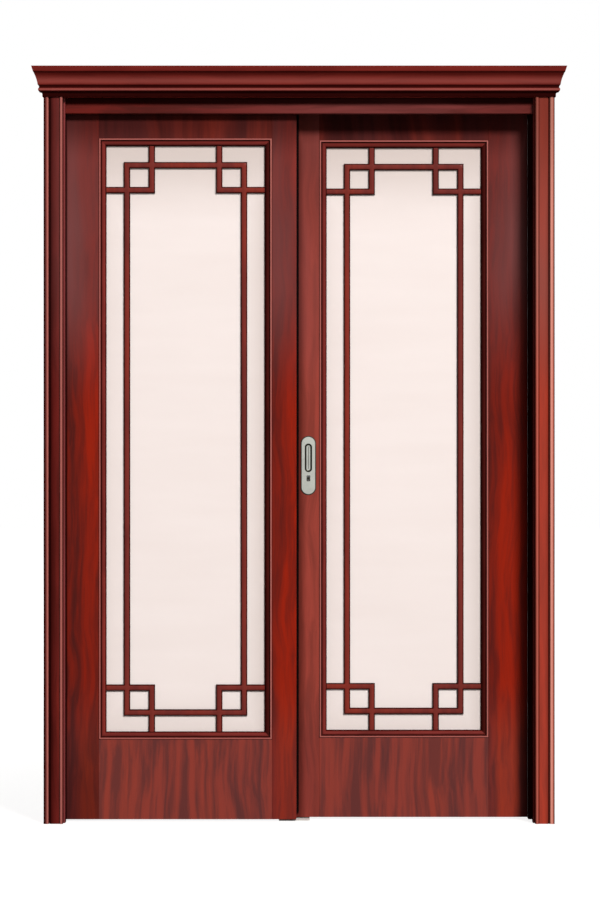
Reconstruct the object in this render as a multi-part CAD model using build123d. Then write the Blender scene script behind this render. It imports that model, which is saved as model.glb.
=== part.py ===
from build123d import *
import os

# A two-leaf bypass sliding door in its timber lining frame, with glazed leaves and a lattice.
# X runs along the wall, Y runs away from the viewer and Z runs up, in millimetres.
# The origin is the middle of the foot of the whole part.

# Lining frame
clear_width = 1376.0  # between the front strips of the jambs
clear_height = 2146.0  # floor to the underside of the head lining
wall_depth = 160.0  # depth of the lining
jamb_thickness = 47.0  # jamb at its front strip
channel_depth = 22.0  # groove in the jamb that takes the front leaf's edge
channel_side_gap = 4.0  # air between the front leaf and each side of the groove
rear_strip_step = 7.0  # how far the rear strip stands in past the front strip
head_thickness = 25.0

# Casings, frieze and crown
casing_width = 57.0
casing_thickness = 22.0
casing_reveal = 5.0  # jamb edge left showing beside the casing
frieze_height = 87.0
frieze_lap = 13.0  # how far the frieze hangs below the head lining
crown_projection = 33.0

# Pelmets
pelmet_drop = 59.0  # height of the board below the head lining
pelmet_thickness = 18.0
pelmet_setback = 8.0  # from the lining's front edge
rear_pelmet_setback = 6.0  # from the lining's rear edge
pelmet_round = 3.0  # rounded lower front edge

# Jamb fixing holes
fixing_radius = 3.5
fixing_low = 200.0  # lower holes above the floor
fixing_top_inset = 246.0  # upper holes below the head lining
fixing_rear_inset = 16.0  # rear row of holes, from the lining's rear edge

# Leaves
leaf_overlap = 13.0
leaf_thickness = 40.0
leaf_setback = 38.0  # front leaf's face behind the lining's front edge
leaf_gap = 10.0  # air between the two leaves
leaf_end_gap = 2.0  # air between a closed leaf and its jamb
hanger_gap = 14.0  # leaf top below the track
floor_gap = 6.0
guide_hold = 60.0  # length of a leaf's bottom that never leaves the floor guide
jamb_stile = 116.0
meeting_stile = 72.0
lock_stile_width = 81.0  # the rear leaf's meeting stile, which carries the lock
top_rail = 80.0
bottom_rail = 236.0
arris = 0.8  # small bevel on the long edges, which shows as a fine line at a joint
tenon_length = 30.0
tenon_thickness = 12.0
tenon_shoulder = 18.0
tenon_clearance = 0.2

# Glazing
glass_thickness = 6.0
glass_edge_gap = 2.0
bead_width = 22.0
bead_proud = 3.0  # how far the glazing bead stands past the leaf's face
bar_width = 18.5
bar_thickness = 8.0
bar_arris = 2.0
ring_side_inset = 51.5
ring_end_inset = 47.0
corner_opening = 55.0  # clear side of the small corner squares

# Tracks and stops
track_width = 36.0
track_height = 34.0
track_wall = 2.0
track_slot = 12.0
stop_length = 20.0
stop_height = 24.0
stop_side_gap = 1.0
stop_gap = 2.0  # between a trolley and its stop at the end of the travel
track_screw_inset = 120.0
track_screws_per_track = 4

# Trolleys, wheels and hangers
wheel_radius = 11.0
wheel_width = 6.5
wheel_rim_bevel = 0.8
wheel_base = 36.0
running_gap = 0.3  # between the wheel's tread and the track
bearing_clearance = 0.05
axle_radius = 2.5
axle_head_radius = 3.5
axle_head = 1.2
wheel_side_gap = 0.8
carriage_length = 64.0
carriage_width = 11.0
carriage_height = 16.0
carriage_round = 3.0
bolt_radius = 4.0
bolt_head_across = 13.0
bolt_head_height = 5.0
nut_height = 6.5
pocket_radius = 10.0
pocket_depth = 10.0
plate_length = 60.0
plate_width = 30.0
plate_thickness = 4.0
plate_screw_spacing = 42.0
screw_radius = 2.0
screw_head_radius = 4.0
screw_head_height = 2.0
track_screw_length = 24.0
plate_screw_length = 18.0
screw_clearance = 0.05

# Floor guide and meeting seal
groove_width = 6.0
groove_depth = 14.0
fin_side_gap = 0.5
fin_top_gap = 2.0
fin_length = 28.0
guide_plate_thickness = 3.0
guide_margin = 8.0
seal_width = 15.0
seal_thickness = 5.0
seal_overhang = 7.0

# Flush pull and lock
pull_width = 45.0
pull_height = 175.0
pull_end_rise = 18.0  # rise of the curved ends
pull_corner_round = 14.0  # where the curved ends meet the straight sides
pull_centre_height = 1051.0  # above the floor
pull_backset = 48.6  # from the leaf's meeting edge
pull_thickness = 2.5
pull_bevel = 1.2
cup_width = 20.5
cup_length = 84.0
cup_rise = 22.7  # cup centre above the pull's centre
cup_depth = 12.0
cup_wall = 1.5
cup_floor_round = 5.0
cup_clearance = 0.3
release_width = 11.0
release_height = 17.0
release_round = 2.0
spindle_drop = 38.3  # spindle below the pull's centre
spindle_side = 8.0
spindle_bore = 7.0
spindle_recess = 2.0  # front end of the spindle behind the leaf's face
case_thickness = 13.0
case_wall = 1.5
case_depth = 61.0
case_below = 18.0
case_above = 70.0
case_clearance = 0.3
forend_thickness = 3.0
forend_width = 20.0
forend_height = 130.0
hook_thickness = 6.0
hook_reach = 12.0  # how far the thrown hook stands out of the leaf's edge
hook_hub = 10.0
hook_arm = 12.0
hook_beak = 8.0
hook_slot_gap = 1.0
hook_slot_margin = 3.0
turn_radius = 10.0
turn_rose = 4.0
turn_gap = 0.3
turn_wing_length = 34.0
turn_wing_width = 6.0
turn_wing_height = 11.0
turn_round = 2.0

overrun = 5.0  # how far a cutting shape runs past the face that it cuts

# Outlines as shares of a width and a height; a row of four is an arc through its first pair.
casing_shares = [
    (0.0, 0.0), (0.0, 0.72), (0.135, 1.0, 0.27, 0.72), (0.31, 0.66), (0.37, 0.84),
    (0.79, 0.84), (0.815, 0.77), (0.9075, 1.0, 1.0, 0.77), (1.0, 0.0),
]
crown_shares = [
    (0.0, 0.0), (0.09, 0.0), (0.09, 0.05), (0.14, 0.13, 0.30, 0.17), (0.36, 0.17),
    (0.44, 0.23, 0.36, 0.29), (0.36, 0.35), (0.47, 0.39), (0.585, 0.585, 0.76, 0.75),
    (0.76, 0.80), (0.84, 0.80), (1.0, 1.0), (0.0, 1.0),
]
bead_shares = [
    (0.0, 0.0), (0.0, 0.88), (0.14, 1.0, 0.28, 0.88), (0.36, 0.70), (0.45, 0.76),
    (0.74, 0.68, 0.92, 0.40), (1.0, 0.28), (1.0, 0.0),
]

# Places that follow from the sizes
half_clear = clear_width / 2
casing_inner = half_clear + casing_reveal
casing_outer = casing_inner + casing_width
jamb_outer = half_clear + jamb_thickness
channel_floor = half_clear + channel_depth
rear_strip = half_clear - rear_strip_step
frieze_bottom = clear_height - frieze_lap
frieze_top = frieze_bottom + frieze_height
total_depth = crown_projection + 2 * casing_thickness + wall_depth
casing_front = crown_projection - total_depth / 2
lining_front = casing_front + casing_thickness
lining_rear = lining_front + wall_depth
front_leaf_y = lining_front + leaf_setback + leaf_thickness / 2
rear_leaf_y = front_leaf_y + leaf_thickness + leaf_gap
channel_front = front_leaf_y - leaf_thickness / 2 - channel_side_gap
channel_rear = front_leaf_y + leaf_thickness / 2 + channel_side_gap
front_leaf_x = leaf_end_gap - channel_floor
rear_leaf_x = rear_strip - leaf_end_gap
leaf_width = (rear_leaf_x - front_leaf_x + leaf_overlap) / 2
slide_travel = leaf_width - guide_hold
front_opening = (jamb_stile, leaf_width - meeting_stile)
rear_opening = (jamb_stile, leaf_width - lock_stile_width)
track_bottom = clear_height - track_height
flange_top = track_bottom + track_wall
leaf_height = track_bottom - hanger_gap - floor_gap
fixing_pitch = clear_height - fixing_top_inset - fixing_low
opening_top = leaf_height - top_rail
axle_height = flange_top + wheel_radius + running_gap
trolley_places = (jamb_stile / 2, leaf_width - meeting_stile / 2)


# Shared shapes
def block(x_range, y_range, z_range):
    """Box between two corners, given as ranges along the three axes."""
    ranges = (x_range, y_range, z_range)
    sizes = [high - low for low, high in ranges]
    middles = [(high + low) / 2 for low, high in ranges]
    return Pos(*middles) * Box(*sizes)


def rod_x(radius, x_range, y, z):
    """Round bar along X."""
    length = x_range[1] - x_range[0]
    return Pos(sum(x_range) / 2, y, z) * Rot(0, 90, 0) * Cylinder(radius, length)


def rod_y(radius, x, y_range, z):
    """Round bar along Y."""
    length = y_range[1] - y_range[0]
    return Pos(x, sum(y_range) / 2, z) * Rot(90, 0, 0) * Cylinder(radius, length)


def rod_z(radius, x, y, z_range):
    """Round bar along Z."""
    length = z_range[1] - z_range[0]
    return Pos(x, y, sum(z_range) / 2) * Cylinder(radius, length)


def moulding(shares, width, height, place):
    """Closed section of a moulding; place turns its two lengths into a point in space."""
    ends = [place(row[-2] * width, row[-1] * height) for row in shares]
    edges = [Line(ends[-1], ends[0])]
    for start, row, end in zip(ends, shares[1:], ends[1:]):
        if len(row) == 4:
            edges.append(ThreePointArc(start, place(row[0] * width, row[1] * height), end))
        else:
            edges.append(Line(start, end))
    return make_face(edges)


def prism(points, direction, length):
    """Straight prism on a flat outline of corners."""
    return extrude(make_face(Polyline(*points, close=True)), amount=length, dir=direction)


def flip_x(shape):
    """The same piece for the other side of the door."""
    return mirror(shape, about=Plane.YZ)


def group(*shapes):
    """Several loose solids kept as one node."""
    return Compound(children=[solid for shape in shapes for solid in shape.solids()])


# Frame pieces
def jamb():
    """Left jamb: one milled length with a front strip, a channel and a rear strip."""
    outline = [
        (-jamb_outer, lining_front, 0),
        (-half_clear, lining_front, 0),
        (-half_clear, channel_front, 0),
        (-channel_floor, channel_front, 0),
        (-channel_floor, channel_rear, 0),
        (-rear_strip, channel_rear, 0),
        (-rear_strip, lining_rear, 0),
        (-jamb_outer, lining_rear, 0),
    ]
    post = prism(outline, (0, 0, 1), clear_height)
    bore = (-jamb_outer - overrun, overrun - rear_strip)
    for z in (fixing_low, fixing_low + fixing_pitch):
        for y in (front_leaf_y, lining_rear - fixing_rear_inset):
            post -= rod_x(fixing_radius, bore, y, z)
    return post


def track_screw_places(reach):
    """X of the screws of one track, evenly spaced."""
    span = 2 * (reach - track_screw_inset)
    steps = range(track_screws_per_track)
    return [span * (step / (track_screws_per_track - 1)) - span / 2 for step in steps]


screw_point = clear_height - track_wall + track_screw_length
track_ends = {front_leaf_y: channel_floor - leaf_end_gap, rear_leaf_y: rear_strip - leaf_end_gap}


def head_lining():
    """Board over the jambs, with pilot holes for the track screws."""
    board = block(
        (-jamb_outer, jamb_outer), (lining_front, lining_rear), (clear_height, clear_height + head_thickness)
    )
    for y, reach in track_ends.items():
        for x in track_screw_places(reach):
            board -= rod_z(screw_radius + screw_clearance, x, y, (clear_height - overrun, screw_point))
    return board


def track(y):
    """C section hung under the head lining, open below for the hanger bolts."""
    reach = track_ends[y]
    along = (-reach, reach)
    half = track_width / 2
    rail = block(along, (y - half, y + half), (track_bottom, clear_height))
    rail -= block(
        (-reach - overrun, reach + overrun),
        (y - half + track_wall, y + half - track_wall),
        (flange_top, clear_height - track_wall),
    )
    rail -= block(
        (-reach - overrun, reach + overrun),
        (y - track_slot / 2, y + track_slot / 2),
        (track_bottom - overrun, flange_top + overrun),
    )
    for x in track_screw_places(reach):
        rail -= rod_z(screw_radius + screw_clearance, x, y, (flange_top, clear_height + overrun))
    return rail


def track_screws():
    """Screws through the tracks' roofs into the head lining."""
    head_top = clear_height - track_wall
    screws = []
    for y, reach in track_ends.items():
        for x in track_screw_places(reach):
            shank = rod_z(screw_radius, x, y, (head_top, screw_point))
            screws.append(shank + rod_z(screw_head_radius, x, y, (head_top - screw_head_height, head_top)))
    return group(*screws)


def track_stops():
    """Four stop blocks, one at each end of each leaf's travel."""
    half_run = carriage_length / 2 + stop_gap
    jamb_side, meeting_side = trolley_places
    front_low = front_leaf_x + jamb_side - half_run
    front_high = front_leaf_x + meeting_side + slide_travel + half_run
    rear_high = rear_leaf_x - jamb_side + half_run
    rear_low = rear_leaf_x - meeting_side - slide_travel - half_run
    half = track_width / 2 - track_wall - stop_side_gap
    stops = []
    for y, low, high in ((front_leaf_y, front_low, front_high), (rear_leaf_y, rear_low, rear_high)):
        for run in ((low - stop_length, low), (high, high + stop_length)):
            stops.append(block(run, (y - half, y + half), (flange_top, flange_top + stop_height)))
    return group(*stops)


def floor_guide():
    """Plate on the floor with one fin for each leaf's groove, at the place that both never leave."""
    front_fin = (front_leaf_x + leaf_width + front_leaf_x + slide_travel) / 2
    rear_fin = (rear_leaf_x - leaf_width + rear_leaf_x - slide_travel) / 2
    half_fin = groove_width / 2 - fin_side_gap
    reach = fin_length / 2 + guide_margin
    side = half_fin + guide_margin
    plate = block(
        (front_fin - reach, rear_fin + reach),
        (front_leaf_y - side, rear_leaf_y + side),
        (0, guide_plate_thickness),
    )
    plate = fillet(plate.edges().filter_by(Axis.Z), guide_margin)
    fin_top = floor_gap + groove_depth - fin_top_gap
    for x, y in ((front_fin, front_leaf_y), (rear_fin, rear_leaf_y)):
        half_length = fin_length / 2
        plate += block((x - half_length, x + half_length), (y - half_fin, y + half_fin), (0, fin_top))
    return plate


def casing():
    """Left front casing: an outer bead, a flat band and an inner bead."""
    section = moulding(
        casing_shares, casing_width, casing_thickness, lambda u, v: (u - casing_outer, lining_front - v, 0)
    )
    return extrude(section, amount=frieze_bottom, dir=(0, 0, 1))


def rear_casing_side():
    """Left rear casing, mitred at its top."""
    top = clear_height + casing_reveal + casing_width
    section = moulding(
        casing_shares, casing_width, casing_thickness, lambda u, v: (u - casing_outer, lining_rear + v, 0)
    )
    keep = [
        (-casing_outer, lining_rear, 0),
        (-casing_outer, lining_rear, top),
        (-casing_inner, lining_rear, top - casing_width),
        (-casing_inner, lining_rear, 0),
    ]
    return extrude(section, amount=top, dir=(0, 0, 1)) & prism(keep, (0, 1, 0), casing_thickness)


def rear_casing_head():
    """Rear head casing, mitred at both ends."""
    top = clear_height + casing_reveal + casing_width
    section = moulding(
        casing_shares, casing_width, casing_thickness, lambda u, v: (-casing_outer, lining_rear + v, top - u)
    )
    keep = [
        (-casing_outer, lining_rear, top),
        (casing_outer, lining_rear, top),
        (casing_inner, lining_rear, top - casing_width),
        (-casing_inner, lining_rear, top - casing_width),
    ]
    return extrude(section, amount=2 * casing_outer, dir=(1, 0, 0)) & prism(keep, (0, 1, 0), casing_thickness)


def crown_front():
    """Front length of the crown, mitred to the returns."""
    reach = casing_outer + crown_projection
    section = moulding(
        crown_shares,
        crown_projection,
        frieze_height,
        lambda u, v: (-reach, casing_front - u, frieze_bottom + v),
    )
    keep = [
        (-casing_outer, casing_front, frieze_bottom),
        (-reach, casing_front - crown_projection, frieze_bottom),
        (reach, casing_front - crown_projection, frieze_bottom),
        (casing_outer, casing_front, frieze_bottom),
    ]
    return extrude(section, amount=2 * reach, dir=(1, 0, 0)) & prism(keep, (0, 0, 1), frieze_height)


def crown_return():
    """Left return of the crown, from its mitre back to the wall."""
    reach = casing_outer + crown_projection
    front = casing_front - crown_projection
    section = moulding(
        crown_shares,
        crown_projection,
        frieze_height,
        lambda u, v: (-casing_outer - u, front, frieze_bottom + v),
    )
    keep = [
        (-casing_outer, casing_front, frieze_bottom),
        (-reach, front, frieze_bottom),
        (-reach, lining_front, frieze_bottom),
        (-casing_outer, lining_front, frieze_bottom),
    ]
    length = lining_front - front
    return extrude(section, amount=length, dir=(0, 1, 0)) & prism(keep, (0, 0, 1), frieze_height)


def pelmet(reach, y):
    """Board under the head lining that hides the tracks, with a rounded lower front edge."""
    board = block(
        (-reach, reach), (y, y + pelmet_thickness), (clear_height - pelmet_drop, clear_height)
    )
    lower_edges = board.edges().filter_by(Axis.X).group_by(Axis.Z)[0]
    return fillet(lower_edges.sort_by(Axis.Y)[0], pelmet_round)


def frieze():
    """Board across the casings that carries the crown."""
    return block(
        (-casing_outer, casing_outer), (casing_front, lining_front), (frieze_bottom, frieze_top)
    )


# Leaf pieces, drawn with X from the leaf's jamb edge, Y from its mid-thickness and Z from its bottom
half_leaf = leaf_thickness / 2
rail_spans = {"bottom": (0, bottom_rail), "top": (opening_top, leaf_height)}
axle_level = axle_height - floor_gap
plate_top = leaf_height + plate_thickness


def guide_groove(x_range):
    """Cutter for the groove in the leaf's bottom."""
    return block(x_range, (-groove_width / 2, groove_width / 2), (-overrun, groove_depth))


def tenon(x_range, z_range, gap):
    """Stub tenon of a rail, or its mortise when a gap is given."""
    half = tenon_thickness / 2 + gap
    heights = (z_range[0] + tenon_shoulder - gap, z_range[1] - tenon_shoulder + gap)
    return block(x_range, (-half, half), heights)


def rail(name, opening):
    """Rail across the opening between the stiles, with bevelled ends and a tenon at each end."""
    span = rail_spans[name]
    board = block(opening, (-half_leaf, half_leaf), span)
    board = chamfer(board.edges().filter_by(Axis.Z), arris)
    board += tenon((opening[0] - tenon_length, opening[1] + tenon_length), span, 0)
    if name == "bottom":
        board -= guide_groove((opening[0] - overrun, opening[1] + overrun))
    return board


def plate_screw_places(x):
    """X of the two screws of the hanger plate at x."""
    return (x - plate_screw_spacing / 2, x + plate_screw_spacing / 2)


def stile(x_range, mortise_range, trolley_x):
    """Full-height stile with mortises, the guide groove and a pocket for the hanger bolt's head."""
    post = block(x_range, (-half_leaf, half_leaf), (0, leaf_height))
    post = chamfer(post.edges().filter_by(Axis.Z), arris)
    for span in rail_spans.values():
        post -= tenon(mortise_range, span, tenon_clearance)
    post -= guide_groove((x_range[0] - overrun, x_range[1] + overrun))
    post -= rod_z(pocket_radius, trolley_x, 0, (leaf_height - pocket_depth, leaf_height + overrun))
    for x in plate_screw_places(trolley_x):
        pilot = (plate_top - plate_screw_length, leaf_height + overrun)
        post -= rod_z(screw_radius + screw_clearance, x, 0, pilot)
    return post


def outer_stile():
    """Stile at the jamb edge of the leaf."""
    mortise = (jamb_stile - tenon_length - tenon_clearance, jamb_stile + overrun)
    return stile((0, jamb_stile), mortise, trolley_places[0])


def inner_stile(opening):
    """Stile between the opening and the meeting edge of the leaf."""
    mortise = (opening[1] - overrun, opening[1] + tenon_length + tenon_clearance)
    return stile((opening[1], leaf_width), mortise, trolley_places[1])


def glass_pane(opening):
    """Frosted pane, held by the beads in mid-thickness."""
    half = glass_thickness / 2
    return block(
        (opening[0] + glass_edge_gap, opening[1] - glass_edge_gap),
        (-half, half),
        (bottom_rail + glass_edge_gap, opening_top - glass_edge_gap),
    )


def face_beads(opening):
    """Four mitred glazing beads on the front of the glass, round the opening."""
    back = -glass_thickness / 2
    height = half_leaf + back + bead_proud
    width, tall = opening[1] - opening[0], opening_top - bottom_rail
    upright = moulding(bead_shares, bead_width, height, lambda u, v: (u, back - v, 0))
    level = moulding(bead_shares, bead_width, height, lambda u, v: (0, back - v, u))
    upright_keep = [
        (0, back, 0), (bead_width, back, bead_width), (bead_width, back, tall - bead_width), (0, back, tall)
    ]
    level_keep = [
        (0, back, 0), (bead_width, back, bead_width), (width - bead_width, back, bead_width), (width, back, 0)
    ]
    left = extrude(upright, amount=tall, dir=(0, 0, 1)) & prism(upright_keep, (0, -1, 0), height)
    low = extrude(level, amount=width, dir=(1, 0, 0)) & prism(level_keep, (0, -1, 0), height)
    right = mirror(left, about=Plane.YZ.offset(width / 2))
    high = mirror(low, about=Plane.XY.offset(tall / 2))
    return Pos(opening[0], 0, bottom_rail) * group(left, low, right, high)


def face_lattice(opening):
    """Lattice on the front of the glass: a ring whose corners interlock with small squares."""
    half_width = (opening[1] - opening[0]) / 2 - bead_width
    half_tall = (opening_top - bottom_rail) / 2 - bead_width
    ring_x = half_width - ring_side_inset
    ring_z = half_tall - ring_end_inset
    inner_x = ring_x - 2 * bar_width - corner_opening
    inner_z = ring_z - 2 * bar_width - corner_opening
    bars = Rectangle(2 * ring_x, 2 * ring_z) - Rectangle(2 * (ring_x - bar_width), 2 * (ring_z - bar_width))
    stub_x = half_width - inner_x
    stub_z = half_tall - inner_z
    for x_side in (-1, 1):
        for z_side in (-1, 1):
            upright = Pos(x_side * (inner_x + bar_width / 2), z_side * (inner_z + stub_z / 2))
            level = Pos(x_side * (inner_x + stub_x / 2), z_side * (inner_z + bar_width / 2))
            bars += upright * Rectangle(bar_width, stub_z)
            bars += level * Rectangle(stub_x, bar_width)
    front = Plane(origin=(0, -glass_thickness / 2, 0), x_dir=(1, 0, 0), z_dir=(0, -1, 0))
    lattice = extrude(front * bars, bar_thickness)
    lattice = chamfer(lattice.faces().sort_by(Axis.Y)[0].edges(), bar_arris)
    return Pos(sum(opening) / 2, 0, (bottom_rail + opening_top) / 2) * lattice


def to_back(shape):
    """The same pieces on the leaf's rear face."""
    return group(*[mirror(solid, about=Plane.XZ) for solid in shape.solids()])


# Hangers
def hexagon(across, x, z_range, bore=0):
    """Six-sided bolt head or nut on the leaf's mid-thickness."""
    outline = RegularPolygon(across / 2, 6, major_radius=False)
    if bore:
        outline -= Circle(bore)
    return Pos(x, 0, z_range[0]) * extrude(outline, z_range[1] - z_range[0])


def hanger_plates():
    """Plates on the leaf's top that hold the hanger bolts."""
    half = plate_length / 2
    plates = []
    for x in trolley_places:
        plate = block(
            (x - half, x + half), (-plate_width / 2, plate_width / 2), (leaf_height, plate_top)
        )
        holes = (leaf_height - overrun, plate_top + overrun)
        plate -= rod_z(bolt_radius + screw_clearance, x, 0, holes)
        for screw_x in plate_screw_places(x):
            plate -= rod_z(screw_radius + screw_clearance, screw_x, 0, holes)
        plates.append(plate)
    return group(*plates)


def hanger_fasteners():
    """Hanger bolts with their lock nuts, and the screws of the hanger plates."""
    pieces = []
    for x in trolley_places:
        shank = rod_z(bolt_radius, x, 0, (leaf_height, axle_level + carriage_height / 2))
        pieces.append(shank + hexagon(bolt_head_across, x, (leaf_height - bolt_head_height, leaf_height)))
        nut_span = (plate_top, plate_top + nut_height)
        pieces.append(hexagon(bolt_head_across, x, nut_span, bolt_radius + screw_clearance))
        for screw_x in plate_screw_places(x):
            screw = rod_z(screw_radius, screw_x, 0, (plate_top - plate_screw_length, plate_top))
            head = (plate_top, plate_top + screw_head_height)
            pieces.append(screw + rod_z(screw_head_radius, screw_x, 0, head))
    return group(*pieces)


def axle_places(x):
    """X of the two axles of the trolley at x."""
    return (x - wheel_base / 2, x + wheel_base / 2)


def carriages():
    """Trolley blocks that run inside the track, with rounded ends."""
    half = carriage_length / 2
    side = carriage_width / 2
    pieces = []
    for x in trolley_places:
        heights = (axle_level - carriage_height / 2, axle_level + carriage_height / 2)
        body = block((x - half, x + half), (-side, side), heights)
        body = fillet(body.edges().filter_by(Axis.Y), carriage_round)
        body -= rod_z(bolt_radius + screw_clearance, x, 0, (heights[0] - overrun, heights[1] + overrun))
        for axle_x in axle_places(x):
            bore = (-side - overrun, side + overrun)
            body -= rod_y(axle_radius + bearing_clearance, axle_x, bore, axle_level)
        pieces.append(body)
    return group(*pieces)


wheel_inner = carriage_width / 2 + wheel_side_gap
wheel_outer = wheel_inner + wheel_width
axle_end = wheel_outer + wheel_side_gap


def axles():
    """Axles fixed in the trolley blocks, headed at both ends."""
    pieces = []
    for x in trolley_places:
        for axle_x in axle_places(x):
            axle = rod_y(axle_radius, axle_x, (-axle_end, axle_end), axle_level)
            for head in ((-axle_end - axle_head, -axle_end), (axle_end, axle_end + axle_head)):
                axle += rod_y(axle_head_radius, axle_x, head, axle_level)
            pieces.append(axle)
    return group(*pieces)


def wheel_pair(axle_x):
    """Two nylon wheels on one axle, one on each flange of the track."""
    pieces = []
    for y_range in ((-wheel_outer, -wheel_inner), (wheel_inner, wheel_outer)):
        wheel = rod_y(wheel_radius, axle_x, y_range, axle_level)
        wheel = chamfer(wheel.edges().filter_by(GeomType.CIRCLE), wheel_rim_bevel)
        bore = (y_range[0] - overrun, y_range[1] + overrun)
        pieces.append(wheel - rod_y(axle_radius + bearing_clearance, axle_x, bore, axle_level))
    return group(*pieces)


def meeting_seal():
    """Dark pile strip on the rear face of the meeting stile, which overhangs its edge."""
    edge = leaf_width + seal_overhang
    return block(
        (edge - seal_width, edge), (half_leaf, half_leaf + seal_thickness), (groove_depth, leaf_height)
    )


# Flush pull and hook lock, drawn in the leaf's own frame
pull_x = leaf_width - pull_backset
pull_z = pull_centre_height - floor_gap
spindle_z = pull_z - spindle_drop
case_back = leaf_width - forend_thickness
case_span = (spindle_z - case_below, spindle_z + case_above)
hook_length = pull_backset + hook_reach


def pull_face(distance):
    """Plane of the pull's outline, at a distance in front of the leaf's face, upright and facing out."""
    return Plane(origin=(pull_x, -half_leaf - distance, pull_z), x_dir=(1, 0, 0), z_dir=(0, -1, 0))


def pull_outline():
    """Upright plate outline with curved ends."""
    half = pull_width / 2
    top = pull_height / 2
    shoulder = top - pull_end_rise
    return make_face(
        [
            Line((-half, -shoulder), (-half, shoulder)),
            ThreePointArc((-half, shoulder), (0, top), (half, shoulder)),
            Line((half, shoulder), (half, -shoulder)),
            ThreePointArc((half, -shoulder), (0, -top), (-half, -shoulder)),
        ]
    )


def cup_outline(margin):
    """Upright slot of the finger cup, grown by a margin."""
    return Pos(0, cup_rise) * Rot(0, 0, 90) * SlotOverall(cup_length + 2 * margin, cup_width + 2 * margin)


def flush_pull(hole):
    """Pull for a leaf's front face: a bevelled plate, a pressed finger cup and a hole for the spindle."""
    plate = extrude(pull_face(0) * pull_outline(), pull_thickness)
    plate = fillet(plate.edges().filter_by(Axis.Y), pull_corner_round)
    plate = chamfer(plate.faces().sort_by(Axis.Y)[0].edges(), pull_bevel)
    plate += extrude(pull_face(0) * cup_outline(cup_wall), pull_thickness - cup_depth - cup_wall)
    outside = pull_face(pull_thickness + overrun)
    hollow = extrude(outside * cup_outline(0), -overrun - cup_depth)
    hollow = fillet(hollow.faces().sort_by(Axis.Y)[-1].edges(), cup_floor_round)
    plate -= hollow
    return plate - extrude(outside * Pos(0, -spindle_drop) * hole, -pull_thickness - 2 * overrun)


def lock_case():
    """Lock case behind its forend, hollow for the swing of the hook."""
    half = case_thickness / 2
    middle = sum(case_span) / 2
    shell = block((case_back - case_depth, case_back), (-half, half), case_span)
    shell += block(
        (case_back, leaf_width),
        (-forend_width / 2, forend_width / 2),
        (middle - forend_height / 2, middle + forend_height / 2),
    )
    shell -= block(
        (case_back - case_depth + case_wall, case_back),
        (case_wall - half, half - case_wall),
        (case_span[0] + case_wall, case_span[1] - case_wall),
    )
    half_slot = hook_thickness / 2 + hook_slot_gap
    slot_foot = spindle_z - hook_arm / 2 - hook_beak - hook_slot_margin
    tip_reach = hook_length**2 + (hook_arm / 2 + hook_beak) ** 2
    slot_head = spindle_z + (tip_reach - (case_back - pull_x) ** 2) ** 0.5 + hook_slot_margin
    slot_run = (case_back - overrun, leaf_width + overrun)
    shell -= block(slot_run, (-half_slot, half_slot), (slot_foot, slot_head))
    return shell - rod_y(spindle_bore, pull_x, (-half - overrun, half + overrun), spindle_z)


def lock_hook():
    """Hook on the spindle: it points up when drawn in and swings out through the forend."""
    half = hook_thickness / 2
    depth = (-half, half)
    edge = pull_x + hook_arm / 2
    tip = spindle_z + hook_length
    hook = rod_y(hook_hub, pull_x, depth, spindle_z)
    hook += block((pull_x - hook_arm / 2, edge), depth, (spindle_z, tip))
    hook += block((edge, edge + hook_beak), depth, (tip - hook_beak, tip))
    eye = spindle_side / 2 + bearing_clearance
    through = (-half - overrun, half + overrun)
    return hook - block((pull_x - eye, pull_x + eye), through, (spindle_z - eye, spindle_z + eye))


def thumb_turn():
    """Thumb turn on the leaf's rear face, one piece with its square spindle."""
    rose_low = half_leaf + pull_thickness + turn_gap
    rose_high = rose_low + turn_rose
    turn = rod_y(turn_radius, pull_x, (rose_low, rose_high), spindle_z)
    wing = block(
        (pull_x - turn_wing_width / 2, pull_x + turn_wing_width / 2),
        (rose_low, rose_high + turn_wing_height),
        (spindle_z - turn_wing_length / 2, spindle_z + turn_wing_length / 2),
    )
    turn += fillet(wing.edges().filter_by(Axis.X), turn_round)
    half = spindle_side / 2
    turn += block(
        (pull_x - half, pull_x + half),
        (spindle_recess - half_leaf, rose_low),
        (spindle_z - half, spindle_z + half),
    )
    return turn


def lock_stile():
    """Meeting stile cut for the two cups, the lock case, its forend and the spindle."""
    post = inner_stile(rear_opening)
    pocket = pull_thickness - cup_depth - cup_wall - cup_clearance
    cup_pocket = extrude(pull_face(overrun) * cup_outline(cup_wall + cup_clearance), pocket - overrun)
    post -= cup_pocket
    post -= mirror(cup_pocket, about=Plane.XZ)
    half = case_thickness / 2 + case_clearance
    post -= block(
        (case_back - case_depth - case_clearance, leaf_width + overrun),
        (-half, half),
        (case_span[0] - case_clearance, case_span[1] + case_clearance),
    )
    middle = sum(case_span) / 2
    reach = forend_height / 2 + case_clearance
    side = forend_width / 2 + case_clearance
    post -= block((case_back, leaf_width + overrun), (-side, side), (middle - reach, middle + reach))
    return post - rod_y(spindle_bore, pull_x, (-half_leaf - overrun, half_leaf + overrun), spindle_z)


# Assembly
def at_front(shape):
    """A leaf piece placed in the front leaf, which closes on the left jamb."""
    return Pos(front_leaf_x, front_leaf_y, floor_gap) * shape


def at_rear(shape):
    """A leaf piece turned over and placed in the rear leaf, which closes on the right jamb."""
    place = Pos(rear_leaf_x, rear_leaf_y, floor_gap)
    return group(*[place * flip_x(solid) for solid in shape.solids()])


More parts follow.
